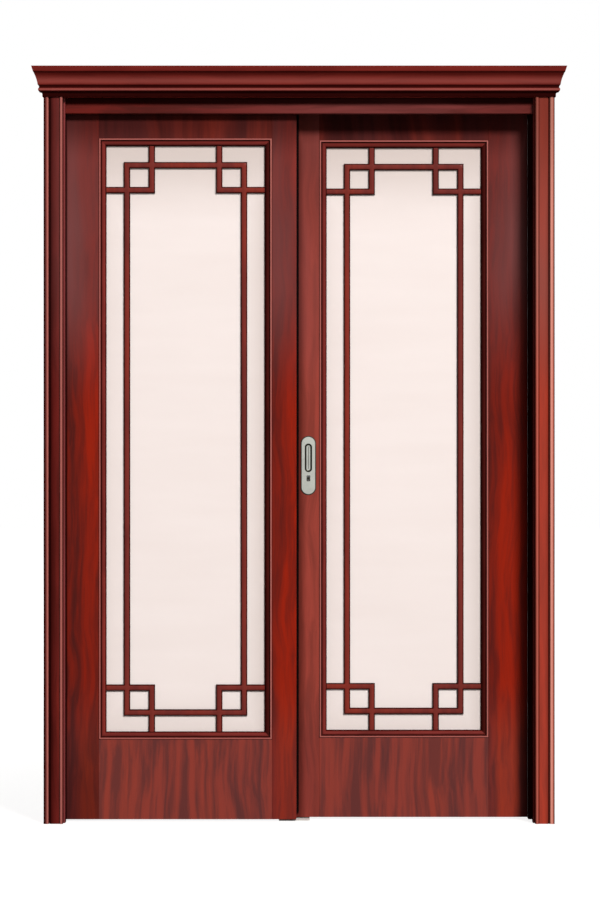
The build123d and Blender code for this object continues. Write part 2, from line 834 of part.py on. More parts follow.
def frame_nodes():
    """Fixed pieces by name."""
    left_jamb, left_casing, left_return, left_rear = jamb(), casing(), crown_return(), rear_casing_side()
    return {
        "jamb_left": left_jamb,
        "jamb_right": flip_x(left_jamb),
        "head_lining": head_lining(),
        "casing_left": left_casing,
        "casing_right": flip_x(left_casing),
        "frieze": frieze(),
        "crown_front": crown_front(),
        "crown_return_left": left_return,
        "crown_return_right": flip_x(left_return),
        "pelmet_front": pelmet(half_clear, lining_front + pelmet_setback),
        "pelmet_rear": pelmet(rear_strip, lining_rear - rear_pelmet_setback - pelmet_thickness),
        "rear_casing_left": left_rear,
        "rear_casing_right": flip_x(left_rear),
        "rear_casing_head": rear_casing_head(),
        "track_front": track(front_leaf_y),
        "track_rear": track(rear_leaf_y),
        "track_screws": track_screws(),
        "track_stops": track_stops(),
        "floor_guide": floor_guide(),
    }


def leaf_nodes(opening, meeting_post):
    """Pieces of a leaf round its opening, by name, in the leaf's own frame."""
    beads, lattice = face_beads(opening), face_lattice(opening)
    nodes = {
        "jamb_stile": outer_stile(),
        "meeting_stile": meeting_post,
        "top_rail": rail("top", opening),
        "bottom_rail": rail("bottom", opening),
        "glass": glass_pane(opening),
        "face_beads": beads,
        "back_beads": to_back(beads),
        "face_lattice": lattice,
        "back_lattice": to_back(lattice),
        "hanger_plates": hanger_plates(),
        "hanger_fasteners": hanger_fasteners(),
        "carriages": carriages(),
        "axles": axles(),
    }
    places = [axle_x for x in trolley_places for axle_x in axle_places(x)]
    for number, axle_x in enumerate(places, start=1):
        nodes[f"wheels_{number}"] = wheel_pair(axle_x)
    return nodes


def lock_nodes():
    """Pieces of the pull and lock, by name, in the leaf's own frame."""
    keyway = RectangleRounded(release_width, release_height, release_round)
    return {
        "pull_face": flush_pull(keyway),
        "pull_back": to_back(flush_pull(Circle(spindle_bore))),
        "lock_case": lock_case(),
        "lock_hook": lock_hook(),
        "thumb_turn": thumb_turn(),
    }


def all_nodes():
    """Every piece of the door, placed in the shared frame."""
    nodes = frame_nodes()
    for name, shape in leaf_nodes(front_opening, inner_stile(front_opening)).items():
        nodes[f"front_leaf_{name}"] = at_front(shape)
    for name, shape in leaf_nodes(rear_opening, lock_stile()).items():
        nodes[f"rear_leaf_{name}"] = at_rear(shape)
    nodes["front_leaf_meeting_seal"] = at_front(meeting_seal())
    for name, shape in lock_nodes().items():
        nodes[name] = at_rear(shape)
    return nodes


os.makedirs("parts", exist_ok=True)
for node_name, node_shape in all_nodes().items():
    pieces = node_shape.solids()
    whole = pieces[0] if len(pieces) == 1 else Compound(children=pieces)
    export_step(whole, f"parts/{node_name}.step")
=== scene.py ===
"""Looks of a two-leaf sliding door: lacquered mahogany, frosted glass and satin nickel.

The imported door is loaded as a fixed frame.  Every board, bar and fitting gets its finish here,
and the mouldings are drawn again as finely rounded lengths.  All sizes are in metres.
"""

from __future__ import annotations

import logging
import math
from dataclasses import dataclass
from enum import Enum, IntEnum
from typing import Sequence

import bmesh
import bpy
import numpy as np
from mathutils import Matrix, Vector

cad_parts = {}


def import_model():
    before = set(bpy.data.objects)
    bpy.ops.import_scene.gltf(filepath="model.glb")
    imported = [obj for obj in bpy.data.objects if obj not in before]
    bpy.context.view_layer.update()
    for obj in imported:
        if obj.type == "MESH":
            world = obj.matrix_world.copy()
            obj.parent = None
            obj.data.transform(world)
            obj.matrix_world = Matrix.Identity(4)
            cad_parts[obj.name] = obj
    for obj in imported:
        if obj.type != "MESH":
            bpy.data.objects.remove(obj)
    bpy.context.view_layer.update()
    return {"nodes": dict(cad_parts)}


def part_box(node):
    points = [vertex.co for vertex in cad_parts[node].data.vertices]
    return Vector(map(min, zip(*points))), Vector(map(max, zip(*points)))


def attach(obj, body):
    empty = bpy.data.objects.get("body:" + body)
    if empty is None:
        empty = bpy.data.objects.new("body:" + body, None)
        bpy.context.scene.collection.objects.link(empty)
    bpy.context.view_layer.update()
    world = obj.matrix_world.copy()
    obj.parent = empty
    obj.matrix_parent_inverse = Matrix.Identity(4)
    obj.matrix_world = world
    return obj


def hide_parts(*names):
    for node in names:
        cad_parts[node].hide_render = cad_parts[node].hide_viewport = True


LOG = logging.getLogger("sliding_door")

Colour = tuple[float, float, float]
Place = tuple[float, float, float]
Pair = tuple[float, float]
Socket = bpy.types.NodeSocket

WHITE: Colour = (1.0, 1.0, 1.0)
RIGHT, LEFT = (1.0, 0.0, 0.0), (-1.0, 0.0, 0.0)
BACK, FRONT = (0.0, 1.0, 0.0), (0.0, -1.0, 0.0)
UP, DOWN = (0.0, 0.0, 1.0), (0.0, 0.0, -1.0)
MIX_INPUTS, MIX_OUTPUT = (0, 6, 7), 2  # numbers of a Mix node's sockets for colours


class Grain(Enum):
    """Which way the fibres of a board run, as the turn that lays them along Z."""

    UPRIGHT = (0.0, 0.0, 0.0)
    LEVEL = (0.0, math.radians(90.0), 0.0)


class Axis(IntEnum):
    """Axis of the shared frame, by its number."""

    X = 0
    Y = 1
    Z = 2


class Side(Enum):
    """Side of the door, by the word in the pieces' names."""

    LEFT = "left"
    RIGHT = "right"


class Face(Enum):
    """Front or rear of the door, by the word in the names of the leaves' pieces."""

    FRONT = "face"
    REAR = "back"

    def outward(self) -> Place:
        """Direction that leads out of this face."""
        return FRONT if self is Face.FRONT else BACK

    def planes(self, low: Vector, high: Vector) -> Pair:
        """Y of a box's inner side and Y of its outer side, for a box on this face."""
        return (high.y, low.y) if self is Face.FRONT else (low.y, high.y)


def rgba(colour: Colour) -> tuple[float, float, float, float]:
    """A colour with full alpha."""
    return (*colour, 1.0)


class NodeSheet:
    """A node tree with short ways to add nodes and join them."""

    def __init__(self, tree: bpy.types.NodeTree) -> None:
        """Take over the node tree of a material, world or group, and empty it."""
        self.tree = tree
        tree.nodes.clear()

    def add(self, kind: str, settings: dict | None = None, **sockets: object) -> bpy.types.Node:
        """Add a node, set its options and feed its inputs.

        Args:
            kind: Node type, without the leading ShaderNode.
            settings: Options of the node by attribute name.
            **sockets: Inputs by name, with spaces as underscores; a socket is linked, a value is set.

        Returns:
            The new node.
        """
        prefix = "" if kind.startswith("Node") else "ShaderNode"
        node = self.tree.nodes.new(prefix + kind)
        for option, value in (settings or {}).items():
            setattr(node, option, value)
        for name, value in sockets.items():
            self.feed(node, name.replace("_", " "), value)
        return node

    def feed(self, node: bpy.types.Node, name: str | int, value: object) -> None:
        """Link a socket to an input, or set the input's value.

        Args:
            node: The node that takes the value.
            name: The input's name or number.
            value: A socket or a constant.
        """
        if isinstance(value, bpy.types.NodeSocket):
            self.tree.links.new(value, node.inputs[name])
        else:
            node.inputs[name].default_value = value

    def place(self) -> Socket:
        """Object coordinates."""
        return self.add("TexCoord").outputs["Object"]

    def axes(self, place: Socket) -> Sequence[Socket]:
        """X, Y and Z of a vector."""
        return self.add("SeparateXYZ", Vector=place).outputs

    def mark(self, name: str) -> Socket:
        """Value of a mesh attribute."""
        return self.add("Attribute", {"attribute_name": name}).outputs["Fac"]

    def math(self, operation: str, first: object, second: object = 0.0) -> Socket:
        """Result of a Math node.

        Args:
            operation: Operation of the node.
            first: First value, as a socket or a number.
            second: Second value, as a socket or a number.

        Returns:
            The result's socket.
        """
        node = self.add("Math", {"operation": operation})
        self.feed(node, 0, first)
        self.feed(node, 1, second)
        return node.outputs[0]

    def vector(self, operation: str, *vectors: object, **sockets: object) -> bpy.types.Node:
        """Add a Vector Math node.

        Args:
            operation: Operation of the node.
            *vectors: Vectors, each as a socket or three numbers.
            **sockets: Other inputs by name.

        Returns:
            The new node.
        """
        node = self.add("VectorMath", {"operation": operation}, **sockets)
        for number, vector in enumerate(vectors):
            self.feed(node, number, vector)
        return node

    def times(self, first: Socket, *others: object) -> Socket:
        """Product of values, taken from left to right.

        Args:
            first: First value.
            *others: Other values, each as a socket or a number.

        Returns:
            The product's socket.
        """
        for value in others:
            first = self.math("MULTIPLY", first, value)
        return first

    def mix(self, factor: object, first: object, second: object) -> Socket:
        """Mix two colours.

        Args:
            factor: Share of the second colour.
            first: First colour, as a socket or four numbers.
            second: Second colour, as a socket or four numbers.

        Returns:
            The mixed colour's socket.
        """
        node = self.add("Mix", {"data_type": "RGBA"})
        for number, value in zip(MIX_INPUTS, (factor, first, second)):
            self.feed(node, number, value)
        return node.outputs[MIX_OUTPUT]

    def noise(self, vector: Socket, cycles: Place, detail: float, roughness: float = 0.5) -> Socket:
        """Noise stretched along each axis.

        Args:
            vector: Coordinates to read.
            cycles: Cycles in a metre along X, Y and Z.
            detail: Octaves of the noise.
            roughness: Weight of the finer octaves.

        Returns:
            The noise value, about 0 to 1.
        """
        mapped = self.add("Mapping", Vector=vector, Scale=cycles).outputs[0]
        node = self.add("TexNoise", Vector=mapped, Scale=1.0, Detail=detail, Roughness=roughness)
        return node.outputs[0]

    def ramp(self, factor: object, low: object, high: object, smooth: bool = False) -> Socket:
        """Ramp from 0 at low to 1 at high, which may be lower, held level outside and eased if smooth."""
        settings = {"interpolation_type": "SMOOTHSTEP" if smooth else "LINEAR"}
        return self.add("MapRange", settings, Value=factor, From_Min=low, From_Max=high).outputs[0]

    def span(self, share: object, first: float, last: float) -> Socket:
        """Value that goes from first to last as a share goes from 0 to 1."""
        return self.add("MapRange", Value=share, To_Min=first, To_Max=last).outputs[0]

    def bump(self, height: Socket, strength: float, distance: float) -> Socket:
        """Normal of a bumpy surface, where a height of 1 stands for the distance in metres."""
        return self.add("Bump", Height=height, Strength=strength, Distance=distance).outputs[0]

    def principled(self, **sockets: object) -> None:
        """Finish a material with a Principled shader, whose inputs are given by name."""
        shader = self.add("BsdfPrincipled", **sockets)
        self.add("OutputMaterial", Surface=shader.outputs[0])


def new_material(name: str) -> tuple[bpy.types.Material, NodeSheet]:
    """Make a material.

    Args:
        name: Name of the material.

    Returns:
        The material and its empty sheet.
    """
    material = bpy.data.materials.new(name)
    material.use_nodes = True
    return material, NodeSheet(material.node_tree)


def seen_rays(sheet: NodeSheet) -> Socket:
    """1 for rays from the eye, off gloss and through glass, and 0 for all others.

    Args:
        sheet: The sheet of a world or material.

    Returns:
        The value's socket.
    """
    path = sheet.add("LightPath").outputs
    indirect = sheet.math("MAXIMUM", path["Is Glossy Ray"], path["Is Transmission Ray"])
    return sheet.math("MAXIMUM", path["Is Camera Ray"], indirect)


class TimberFigure:
    """Shared node group that draws mahogany figure with its fibres along Z.

    Three noises are stretched along the fibres, and the first two are bent by a slow one: broad bands
    that bring in the light colour, streaks that bring in the dark one, and fine pores that darken both.
    """

    INPUTS = {
        "Vector": "Vector", "Dark": "Color", "Middle": "Color", "Light": "Color",
        "Flame": "Float", "Contrast": "Float", "Glow": "Float",
    }
    OUTPUTS = {"Color": "Color", "Gloss": "Float", "Height": "Float"}
    MIDDLE = 0.5  # middle value of a noise
    BEND_CYCLES = 3.0
    BEND_REACH = 0.07
    BROAD_CYCLES: Place = (11.0, 11.0, 0.9)
    STREAK_CYCLES: Place = (58.0, 58.0, 2.8)
    PORE_CYCLES: Place = (420.0, 420.0, 9.0)
    PORE_EDGE: Pair = (0.60, 0.74)
    FLAME_EDGE: Pair = (0.42, 0.68)
    GLOW_EDGE: Pair = (0.25, 0.60)
    SOFT_STREAK = 0.34  # half the width of a streak's edge at no contrast
    STREAK_GAIN = 0.24  # how far full contrast narrows that edge
    VEIN_SHARE = 0.5  # share of the flames that is left on a dark streak
    PORE_TINT = 0.25
    GLOSS: Pair = (0.24, 0.36)
    STREAK_HEIGHT = 0.35
    PORE_DEPTH = 0.65

    _tree: bpy.types.NodeTree | None = None

    @classmethod
    def tree(cls) -> bpy.types.NodeTree:
        """Find the group, which is made on first use.

        Returns:
            The group's tree.
        """
        if cls._tree is None:
            cls._tree = cls._make()
        return cls._tree

    @classmethod
    def _bent(cls, sheet: NodeSheet, vector: Socket) -> Socket:
        """Coordinates shifted by a slow noise, centred on 0.

        Args:
            sheet: The group's sheet.
            vector: Coordinates to bend.

        Returns:
            The bent coordinates.
        """
        slow = sheet.add("TexNoise", Vector=vector, Scale=cls.BEND_CYCLES, Detail=2.0)
        centred = sheet.vector("SUBTRACT", slow.outputs["Color"], (cls.MIDDLE,) * 3)
        shift = sheet.vector("SCALE", centred.outputs[0], Scale=cls.BEND_REACH)
        return sheet.vector("ADD", vector, shift.outputs[0]).outputs[0]

    @classmethod
    def _make(cls) -> bpy.types.NodeTree:
        """Build the group.

        Returns:
            The group's tree.
        """
        tree = bpy.data.node_groups.new("timber_figure", "ShaderNodeTree")
        for direction, sockets in (("INPUT", cls.INPUTS), ("OUTPUT", cls.OUTPUTS)):
            for label, kind in sockets.items():
                tree.interface.new_socket(label, in_out=direction, socket_type=f"NodeSocket{kind}")
        sheet = NodeSheet(tree)
        given = sheet.add("NodeGroupInput").outputs
        bent = cls._bent(sheet, given["Vector"])
        broad = sheet.noise(bent, cls.BROAD_CYCLES, detail=3.0, roughness=0.45)
        streaks = sheet.noise(bent, cls.STREAK_CYCLES, detail=4.0, roughness=0.55)
        fine = sheet.noise(given["Vector"], cls.PORE_CYCLES, detail=2.0)
        pores = sheet.ramp(fine, *cls.PORE_EDGE)
        narrowed = sheet.times(given["Contrast"], cls.STREAK_GAIN)
        spread = sheet.math("SUBTRACT", cls.SOFT_STREAK, narrowed)
        low = sheet.math("SUBTRACT", cls.MIDDLE, spread)
        high = sheet.math("ADD", cls.MIDDLE, spread)
        streak = sheet.ramp(streaks, low, high, smooth=True)
        body = sheet.mix(streak, given["Dark"], given["Middle"])
        flames = sheet.times(sheet.ramp(broad, *cls.FLAME_EDGE, smooth=True), given["Flame"])
        glow = sheet.times(sheet.ramp(broad, *cls.GLOW_EDGE), given["Glow"])
        reach = sheet.math("MINIMUM", sheet.math("ADD", flames, glow), 1.0)
        veined = sheet.times(reach, sheet.span(streak, cls.VEIN_SHARE, 1.0))
        lit = sheet.mix(veined, body, given["Light"])
        grooves = sheet.times(pores, cls.PORE_DEPTH)
        results = {
            "Color": sheet.mix(sheet.times(pores, cls.PORE_TINT), lit, given["Dark"]),
            "Gloss": sheet.span(streaks, *cls.GLOSS),
            "Height": sheet.math("SUBTRACT", sheet.times(streaks, cls.STREAK_HEIGHT), grooves),
        }
        sheet.add("NodeGroupOutput", **results)
        return tree


@dataclass(frozen=True)
class Palette:
    """Colours of a board.

    Attributes:
        dark: Dense purple-brown streaks.
        middle: Main red-brown.
        light: Orange-red flames.
        flame: Strength of the flames.
        contrast: How sharply the dark streaks stand out.
        highlighted: Colour of the painted highlight on rounded crests.
        sheen_colour: Greyish colour of the painted sheen, a reflection painted over the upper boards.
    """

    dark: Colour
    middle: Colour
    light: Colour
    flame: float
    contrast: float = 0.5
    highlighted: Colour = (0.42, 0.13, 0.11)
    sheen_colour: Colour = (0.165, 0.050, 0.048)

    def figure(self) -> dict[str, Colour]:
        """Colours of the figure by the name of their socket."""
        return {"Dark": self.dark, "Middle": self.middle, "Light": self.light}


# Duller colours that some boards take on near the floor.
FOOT = Palette((0.080, 0.020, 0.020), (0.160, 0.027, 0.023), (0.270, 0.036, 0.019), 0.5)


@dataclass(frozen=True)
class PaintedShade:
    """Painted shade that darkens a board toward one side, mostly standing in for a cast shadow.

    Attributes:
        axis: Axis that it grows along.
        start: Place where it begins.
        end: Place where it is full.
        strength: Its strength where it is full.
        within: Another painted shade that bounds it, if one does.
    """

    axis: Axis
    start: float
    end: float
    strength: float = 0.85
    within: PaintedShade | None = None

    def depth(self, sheet: NodeSheet, axes: Sequence[Socket]) -> Socket:
        """Strength of the painted shade at a point.

        Args:
            sheet: The board's sheet.
            axes: X, Y and Z of the point.

        Returns:
            The value's socket.
        """
        ramp = sheet.ramp(axes[self.axis], self.start, self.end, smooth=True)
        depth = sheet.times(ramp, self.strength)
        return sheet.math("MINIMUM", depth, self.within.depth(sheet, axes)) if self.within else depth


class Lacquer:
    """What the lacquer of all boards has in common."""

    PAINTED_SHEEN_RISE: Pair = (1.20, 1.65)  # Z where the painted sheen begins and Z where it is full
    PAINTED_SHEEN_FALL: Pair = (1.75, 2.05)  # Z where it begins to thin toward the head and Z where that ends
    PAINTED_SHEEN_HEAD = 0.7  # share of it that is left at the head
    PAINTED_SHEEN_THIN = 0.6  # share of it on the thin side of a board with a drift
    CLOUD_CYCLES: Place = (9.0, 9.0, 1.4)
    CLOUD_EDGE: Pair = (0.15, 0.60)
    FOOT_RISE: Pair = (0.44, 0.16)  # Z where the duller foot begins and Z where it is full
    FLAME_HEAD = 0.4  # share of the flames that is left under the painted sheen
    GLOW = 0.75  # strength of the even glow beside the flames
    # Strength of the painted shade in grooves, and strength of the painted highlight on crests.
    CREASE_SHADE = 0.94
    HIGHLIGHT = 0.85
    HIGHLIGHT_POWER = 2.0  # how far the painted highlights on crests are narrowed
    # Colour of the painted shade.
    SHADE_COLOUR: Colour = (0.010, 0.001, 0.001)
    SHEEN = 0.04
    SHEEN_END = 0.5  # depth of painted shade that ends the reflection
    BUMP = 0.10
    FIBRE = 0.0006  # height of the bumps


@dataclass(frozen=True)
class Timber:
    """Lacquered mahogany of one board, with its own place in the log.

    Attributes:
        name: Name of the finish.
        grain: Way of the fibres.
        palette: Its colours.
        offset: Place of the board in the log.
        blush: X where the flames begin and X where they are full, if they grow across the board.
        painted_sheen: Strength of the painted sheen, a greyish reflection painted over the upper third.
        sheen_drift: X where the painted sheen is thin and X where it is full, if it changes across the
            board.
        foot: How far its colours turn to duller ones near the floor.
        painted_shades: Its painted shadows and shade.
        coarse: Size of the figure, as a share of the usual one.
    """

    name: str
    grain: Grain
    palette: Palette
    offset: Place
    blush: Pair | None = None
    painted_sheen: float = 0.0
    sheen_drift: Pair | None = None
    foot: float = 0.0
    painted_shades: tuple[PaintedShade, ...] = ()
    coarse: float = 1.0

    def material(self) -> bpy.types.Material:
        """Find the finish's material, which is made on first use.

        Returns:
            The material.
        """
        known = bpy.data.materials.get(self.name)
        if known:
            return known
        material, sheet = new_material(self.name)
        place = sheet.place()
        axes = sheet.axes(place)
        log = sheet.add(
            "Mapping", Vector=place, Location=self.offset, Rotation=self.grain.value,
            Scale=(1.0 / self.coarse,) * 3,
        ).outputs[0]
        rise = sheet.ramp(axes[Axis.Z], *Lacquer.PAINTED_SHEEN_RISE, smooth=True)
        figure = self._figure(sheet, log, axes, rise)
        # Painted sheen: a greyish reflection painted into the colour of the upper boards.
        painted_sheen = self._painted_sheen(sheet, log, axes, rise)
        sheen_colour = sheet.mix(painted_sheen, figure["Color"], rgba(self.palette.sheen_colour))
        # Painted highlight on rounded crests, then painted shade in grooves and painted shadows, mixed
        # into the colour.
        pale = sheet.times(sheet.math("POWER", sheet.mark("rub"), Lacquer.HIGHLIGHT_POWER), Lacquer.HIGHLIGHT)
        highlighted = sheet.mix(pale, sheen_colour, rgba(self.palette.highlighted))
        shade = sheet.times(sheet.mark("crease_shade"), Lacquer.CREASE_SHADE)
        for painted_shade in self.painted_shades:
            shade = sheet.math("MAXIMUM", shade, painted_shade.depth(sheet, axes))
        sheet.principled(
            Base_Color=sheet.mix(shade, highlighted, rgba(Lacquer.SHADE_COLOUR)),
            Roughness=figure["Gloss"],
            Normal=sheet.bump(figure["Height"], Lacquer.BUMP, Lacquer.FIBRE),
            Specular_IOR_Level=sheet.times(sheet.ramp(shade, Lacquer.SHEEN_END, 0.0), Lacquer.SHEEN),
        )
        return material

    def _figure(
        self, sheet: NodeSheet, log: Socket, axes: Sequence[Socket], rise: Socket
    ) -> bpy.types.NodeOutputs:
        """Figure of the board, with flames across it and duller colours near the floor.

        Args:
            sheet: The board's sheet.
            log: Place in the log.
            axes: X, Y and Z on the door.
            rise: How far the painted sheen has begun.

        Returns:
            The figure's colour, gloss and height by name.
        """
        figure = sheet.add("Group", {"node_tree": TimberFigure.tree()}, Vector=log)
        flame, glow = self.palette.flame, 0.0
        if self.blush:
            faded = sheet.span(rise, 1.0, Lacquer.FLAME_HEAD)
            share = sheet.times(sheet.ramp(axes[Axis.X], *self.blush), faded)
            flame, glow = sheet.times(share, flame), sheet.times(share, Lacquer.GLOW)
        values: dict[str, object] = {"Flame": flame, "Glow": glow, "Contrast": self.palette.contrast}
        values |= {label: rgba(colour) for label, colour in self.palette.figure().items()}
        if self.foot:
            lower = sheet.times(sheet.ramp(axes[Axis.Z], *Lacquer.FOOT_RISE, smooth=True), self.foot)
            for label, dull in FOOT.figure().items():
                values[label] = sheet.mix(lower, values[label], rgba(dull))
        for label, value in values.items():
            sheet.feed(figure, label, value)
        return figure.outputs

    def _painted_sheen(self, sheet: NodeSheet, log: Socket, axes: Sequence[Socket], rise: Socket) -> Socket:
        """Painted sheen in clouds, a greyish reflection painted into the colour: it thins toward the
        head, and across the board if it drifts.

        Args:
            sheet: The board's sheet.
            log: Place in the log.
            axes: X, Y and Z on the door.
            rise: How far the painted sheen has begun.

        Returns:
            The strength's socket.
        """
        fall = sheet.span(sheet.ramp(axes[Axis.Z], *Lacquer.PAINTED_SHEEN_FALL), 1.0, Lacquer.PAINTED_SHEEN_HEAD)
        upper = sheet.times(rise, fall, self.painted_sheen)
        if self.sheen_drift:
            thick = sheet.span(sheet.ramp(axes[Axis.X], *self.sheen_drift), Lacquer.PAINTED_SHEEN_THIN, 1.0)
            upper = sheet.times(upper, thick)
        cloud = sheet.noise(log, Lacquer.CLOUD_CYCLES, detail=2.0)
        return sheet.times(upper, sheet.ramp(cloud, *Lacquer.CLOUD_EDGE))


class End(IntEnum):
    """Low or high end along an axis."""

    LOW = 0
    HIGH = 1


@dataclass(frozen=True)
class ShadedEdge:
    """Painted shade along one edge of a pane.

    Attributes:
        axis: Axis that leads to the edge.
        end: Which end of it the edge is.
        reach: Where along the axis it begins, from the edge.
        strength: Its strength at the edge.
    """

    axis: Axis
    end: End
    reach: float
    strength: float


@dataclass(frozen=True)
class FrostedGlass:
    """Acid-frosted pane with a faint cloudiness.

    Attributes:
        name: Name of the finish.
        low: Lowest corner of the pane.
        high: Highest corner of the pane.
        tint: Colour of the pane.
        shade: Colour of the cloudier patches.
        rim: Colour of the painted shade toward the edges.
        cloud: Cycles of the clouds in a metre along X, Y and Z.
        cloud_edge: Noise where a cloud begins and where it is full.
        grit: Cycles of the frosting in a metre along X, Y and Z.
        rough: Lowest and highest roughness.
        edges: Its edges with painted shade.
    """

    name: str
    low: Vector
    high: Vector
    tint: Colour = (0.90, 0.813, 0.785)
    shade: Colour = (0.88, 0.79, 0.76)
    rim: Colour = (0.66, 0.57, 0.53)
    cloud: Place = (2.2, 2.2, 14.0)
    cloud_edge: Pair = (0.35, 0.7)
    grit: Place = (900.0, 900.0, 900.0)
    rough: Pair = (0.42, 0.58)
    # Painted shade from the beads and the head: strongest at the top and on the right.
    edges: tuple[ShadedEdge, ...] = (
        ShadedEdge(Axis.X, End.LOW, 0.10, 0.30),
        ShadedEdge(Axis.X, End.HIGH, -0.10, 0.75),
        ShadedEdge(Axis.Z, End.LOW, 0.16, 0.40),
        ShadedEdge(Axis.Z, End.HIGH, -0.26, 1.0),
    )

    def material(self) -> bpy.types.Material:
        """Make the finish's material.

        Returns:
            The material.
        """
        material, sheet = new_material(self.name)
        place = sheet.place()
        cloud = sheet.ramp(sheet.noise(place, self.cloud, detail=2.0), *self.cloud_edge)
        grit = sheet.noise(place, self.grit, detail=2.0)
        clear = sheet.mix(cloud, rgba(self.tint), rgba(self.shade))
        sheet.principled(
            Base_Color=sheet.mix(self._edge_shade(sheet, place), clear, rgba(self.rim)),
            Roughness=sheet.span(grit, *self.rough),
            Normal=sheet.bump(grit, strength=0.06, distance=0.0002),
            IOR=1.45,
            Specular_IOR_Level=0.1,
            Transmission_Weight=0.12,
        )
        return material

    def _edge_shade(self, sheet: NodeSheet, place: Socket) -> Socket:
        """Painted shade toward the edges: full at an edge, falling to 0 further in.

        Args:
            sheet: The pane's sheet.
            place: Object coordinates.

        Returns:
            The value's socket.
        """
        axes, corners = sheet.axes(place), (self.low, self.high)
        edge_shade: object = 0.0
        for edge in self.edges:
            line = corners[edge.end][edge.axis]
            side = sheet.ramp(axes[edge.axis], line + edge.reach, line, smooth=True)
            edge_shade = sheet.math("MAXIMUM", edge_shade, sheet.times(side, edge.strength))
        return edge_shade


@dataclass(frozen=True)
class LongOutline:
    """Upright outline with round ends.

    Attributes:
        centre: X and Z of its middle.
        straight: Half the length between the centres of the round ends.
        radius: Radius of the round ends.
    """

    centre: Pair
    straight: float
    radius: float

    def away(self, sheet: NodeSheet, place: Socket) -> Socket:
        """Distance from the straight line between the centres of the round ends.

        Args:
            sheet: The metal's sheet.
            place: Object coordinates.

        Returns:
            The distance's socket.
        """
        axes = sheet.axes(place)
        across = sheet.math("SUBTRACT", axes[Axis.X], self.centre[0])
        up = sheet.math("ABSOLUTE", sheet.math("SUBTRACT", axes[Axis.Z], self.centre[1]))
        past = sheet.math("MAXIMUM", sheet.math("SUBTRACT", up, self.straight), 0.0)
        squares = [sheet.times(part, part) for part in (across, past)]
        return sheet.math("SQRT", sheet.math("ADD", *squares))


@dataclass(frozen=True)
class PullShade:
    """Painted shade on the wall of a pull's finger cup and round its plate, with a painted reflection
    line down the cup's middle.

    Attributes:
        plate: Outline of the plate.
        cup: Outline of the cup.
        wall: Width of the band of painted shade inside the cup's outline.
        wall_inner: Where that band begins and is full, from its inner line.
        wall_outer: Where that band ends and is full, from the cup's outline.
        line: Distance from the cup's middle line where its painted reflection line ends and where it is
            full.
        line_strength: Strength of that line.
        rim: Width of the band of painted shadow inside the plate's outline.
        rim_blur: Width of that band's soft edge.
        rim_strength: Strength of that band.
    """

    plate: LongOutline
    cup: LongOutline = LongOutline(centre=(0.0276, 1.0737), straight=0.03175, radius=0.01025)
    wall: float = 0.0046
    wall_inner: Pair = (-0.0008, 0.0006)
    wall_outer: Pair = (0.0010, 0.0002)
    line: Pair = (0.0018, 0.0007)
    line_strength: float = 0.75
    rim: float = 0.0024
    rim_blur: float = 0.0008
    rim_strength: float = 0.9

    def mask(self, sheet: NodeSheet, place: Socket) -> Socket:
        """1 on the cup's wall, less along its middle line and the plate's rim, and 0 elsewhere.

        Args:
            sheet: The metal's sheet.
            place: Object coordinates.

        Returns:
            The value's socket.
        """
        away, radius = self.cup.away(sheet, place), self.cup.radius
        inner = sheet.ramp(away, *(radius - self.wall + step for step in self.wall_inner))
        outer = sheet.ramp(away, *(radius + step for step in self.wall_outer))
        line = sheet.times(sheet.ramp(away, *self.line), self.line_strength)
        cup = sheet.math("MAXIMUM", sheet.times(inner, outer), line)
        edge = self.plate.radius - self.rim
        rim = sheet.ramp(self.plate.away(sheet, place), edge - self.rim_blur, edge)
        return sheet.math("MAXIMUM", cup, sheet.times(rim, self.rim_strength))


@dataclass(frozen=True)
class BuriedShade:
    """Painted shade on what lies inside the leaf.

    Attributes:
        depth: Y of the face that ends the dark part.
        blur: Width of its soft edge.
    """

    depth: float = 0.0640
    blur: float = 0.001

    def mask(self, sheet: NodeSheet, place: Socket) -> Socket:
        """1 in front of the face and 0 behind it."""
        return sheet.ramp(sheet.axes(place)[Axis.Y], self.depth, self.depth - self.blur)


@dataclass(frozen=True)
class Metal:
    """Metal with fine brushing along one axis and a little tarnish.

    Attributes:
        name: Name of the finish.
        colour: Reflected colour.
        brushing: Cycles of the brushing in a metre along X, Y and Z.
        rough: Lowest and highest roughness.
        shade_mask: Where painted shade darkens it, if anywhere.
        dark: Colour of the painted shade.
        tarnish: Cycles of the tarnish in a metre along X, Y and Z.
        tarnish_edge: Noise where the tarnish begins and where it is full.
        tarnish_share: Share of the colour that the tarnish leaves.
    """

    name: str
    colour: Colour
    brushing: Place
    rough: Pair = (0.26, 0.42)
    shade_mask: PullShade | BuriedShade | None = None
    dark: Colour = (0.026, 0.026, 0.018)
    tarnish: Place = (28.0, 28.0, 28.0)
    tarnish_edge: Pair = (0.35, 0.75)
    tarnish_share: float = 0.82

    def material(self) -> bpy.types.Material:
        """Make the finish's material.

        Returns:
            The material.
        """
        material, sheet = new_material(self.name)
        place = sheet.place()
        brushing = sheet.noise(place, self.brushing, detail=3.0, roughness=0.6)
        tarnish = sheet.ramp(sheet.noise(place, self.tarnish, detail=3.0), *self.tarnish_edge)
        tarnished = tuple(self.tarnish_share * channel for channel in self.colour)
        colour = sheet.mix(tarnish, rgba(self.colour), rgba(tarnished))
        if self.shade_mask:
            colour = sheet.mix(self.shade_mask.mask(sheet, place), colour, rgba(self.dark))
        sheet.principled(
            Base_Color=colour,
            Metallic=1.0,
            Roughness=sheet.span(brushing, *self.rough),
            Normal=sheet.bump(brushing, strength=0.08, distance=0.0002),
        )
        return material


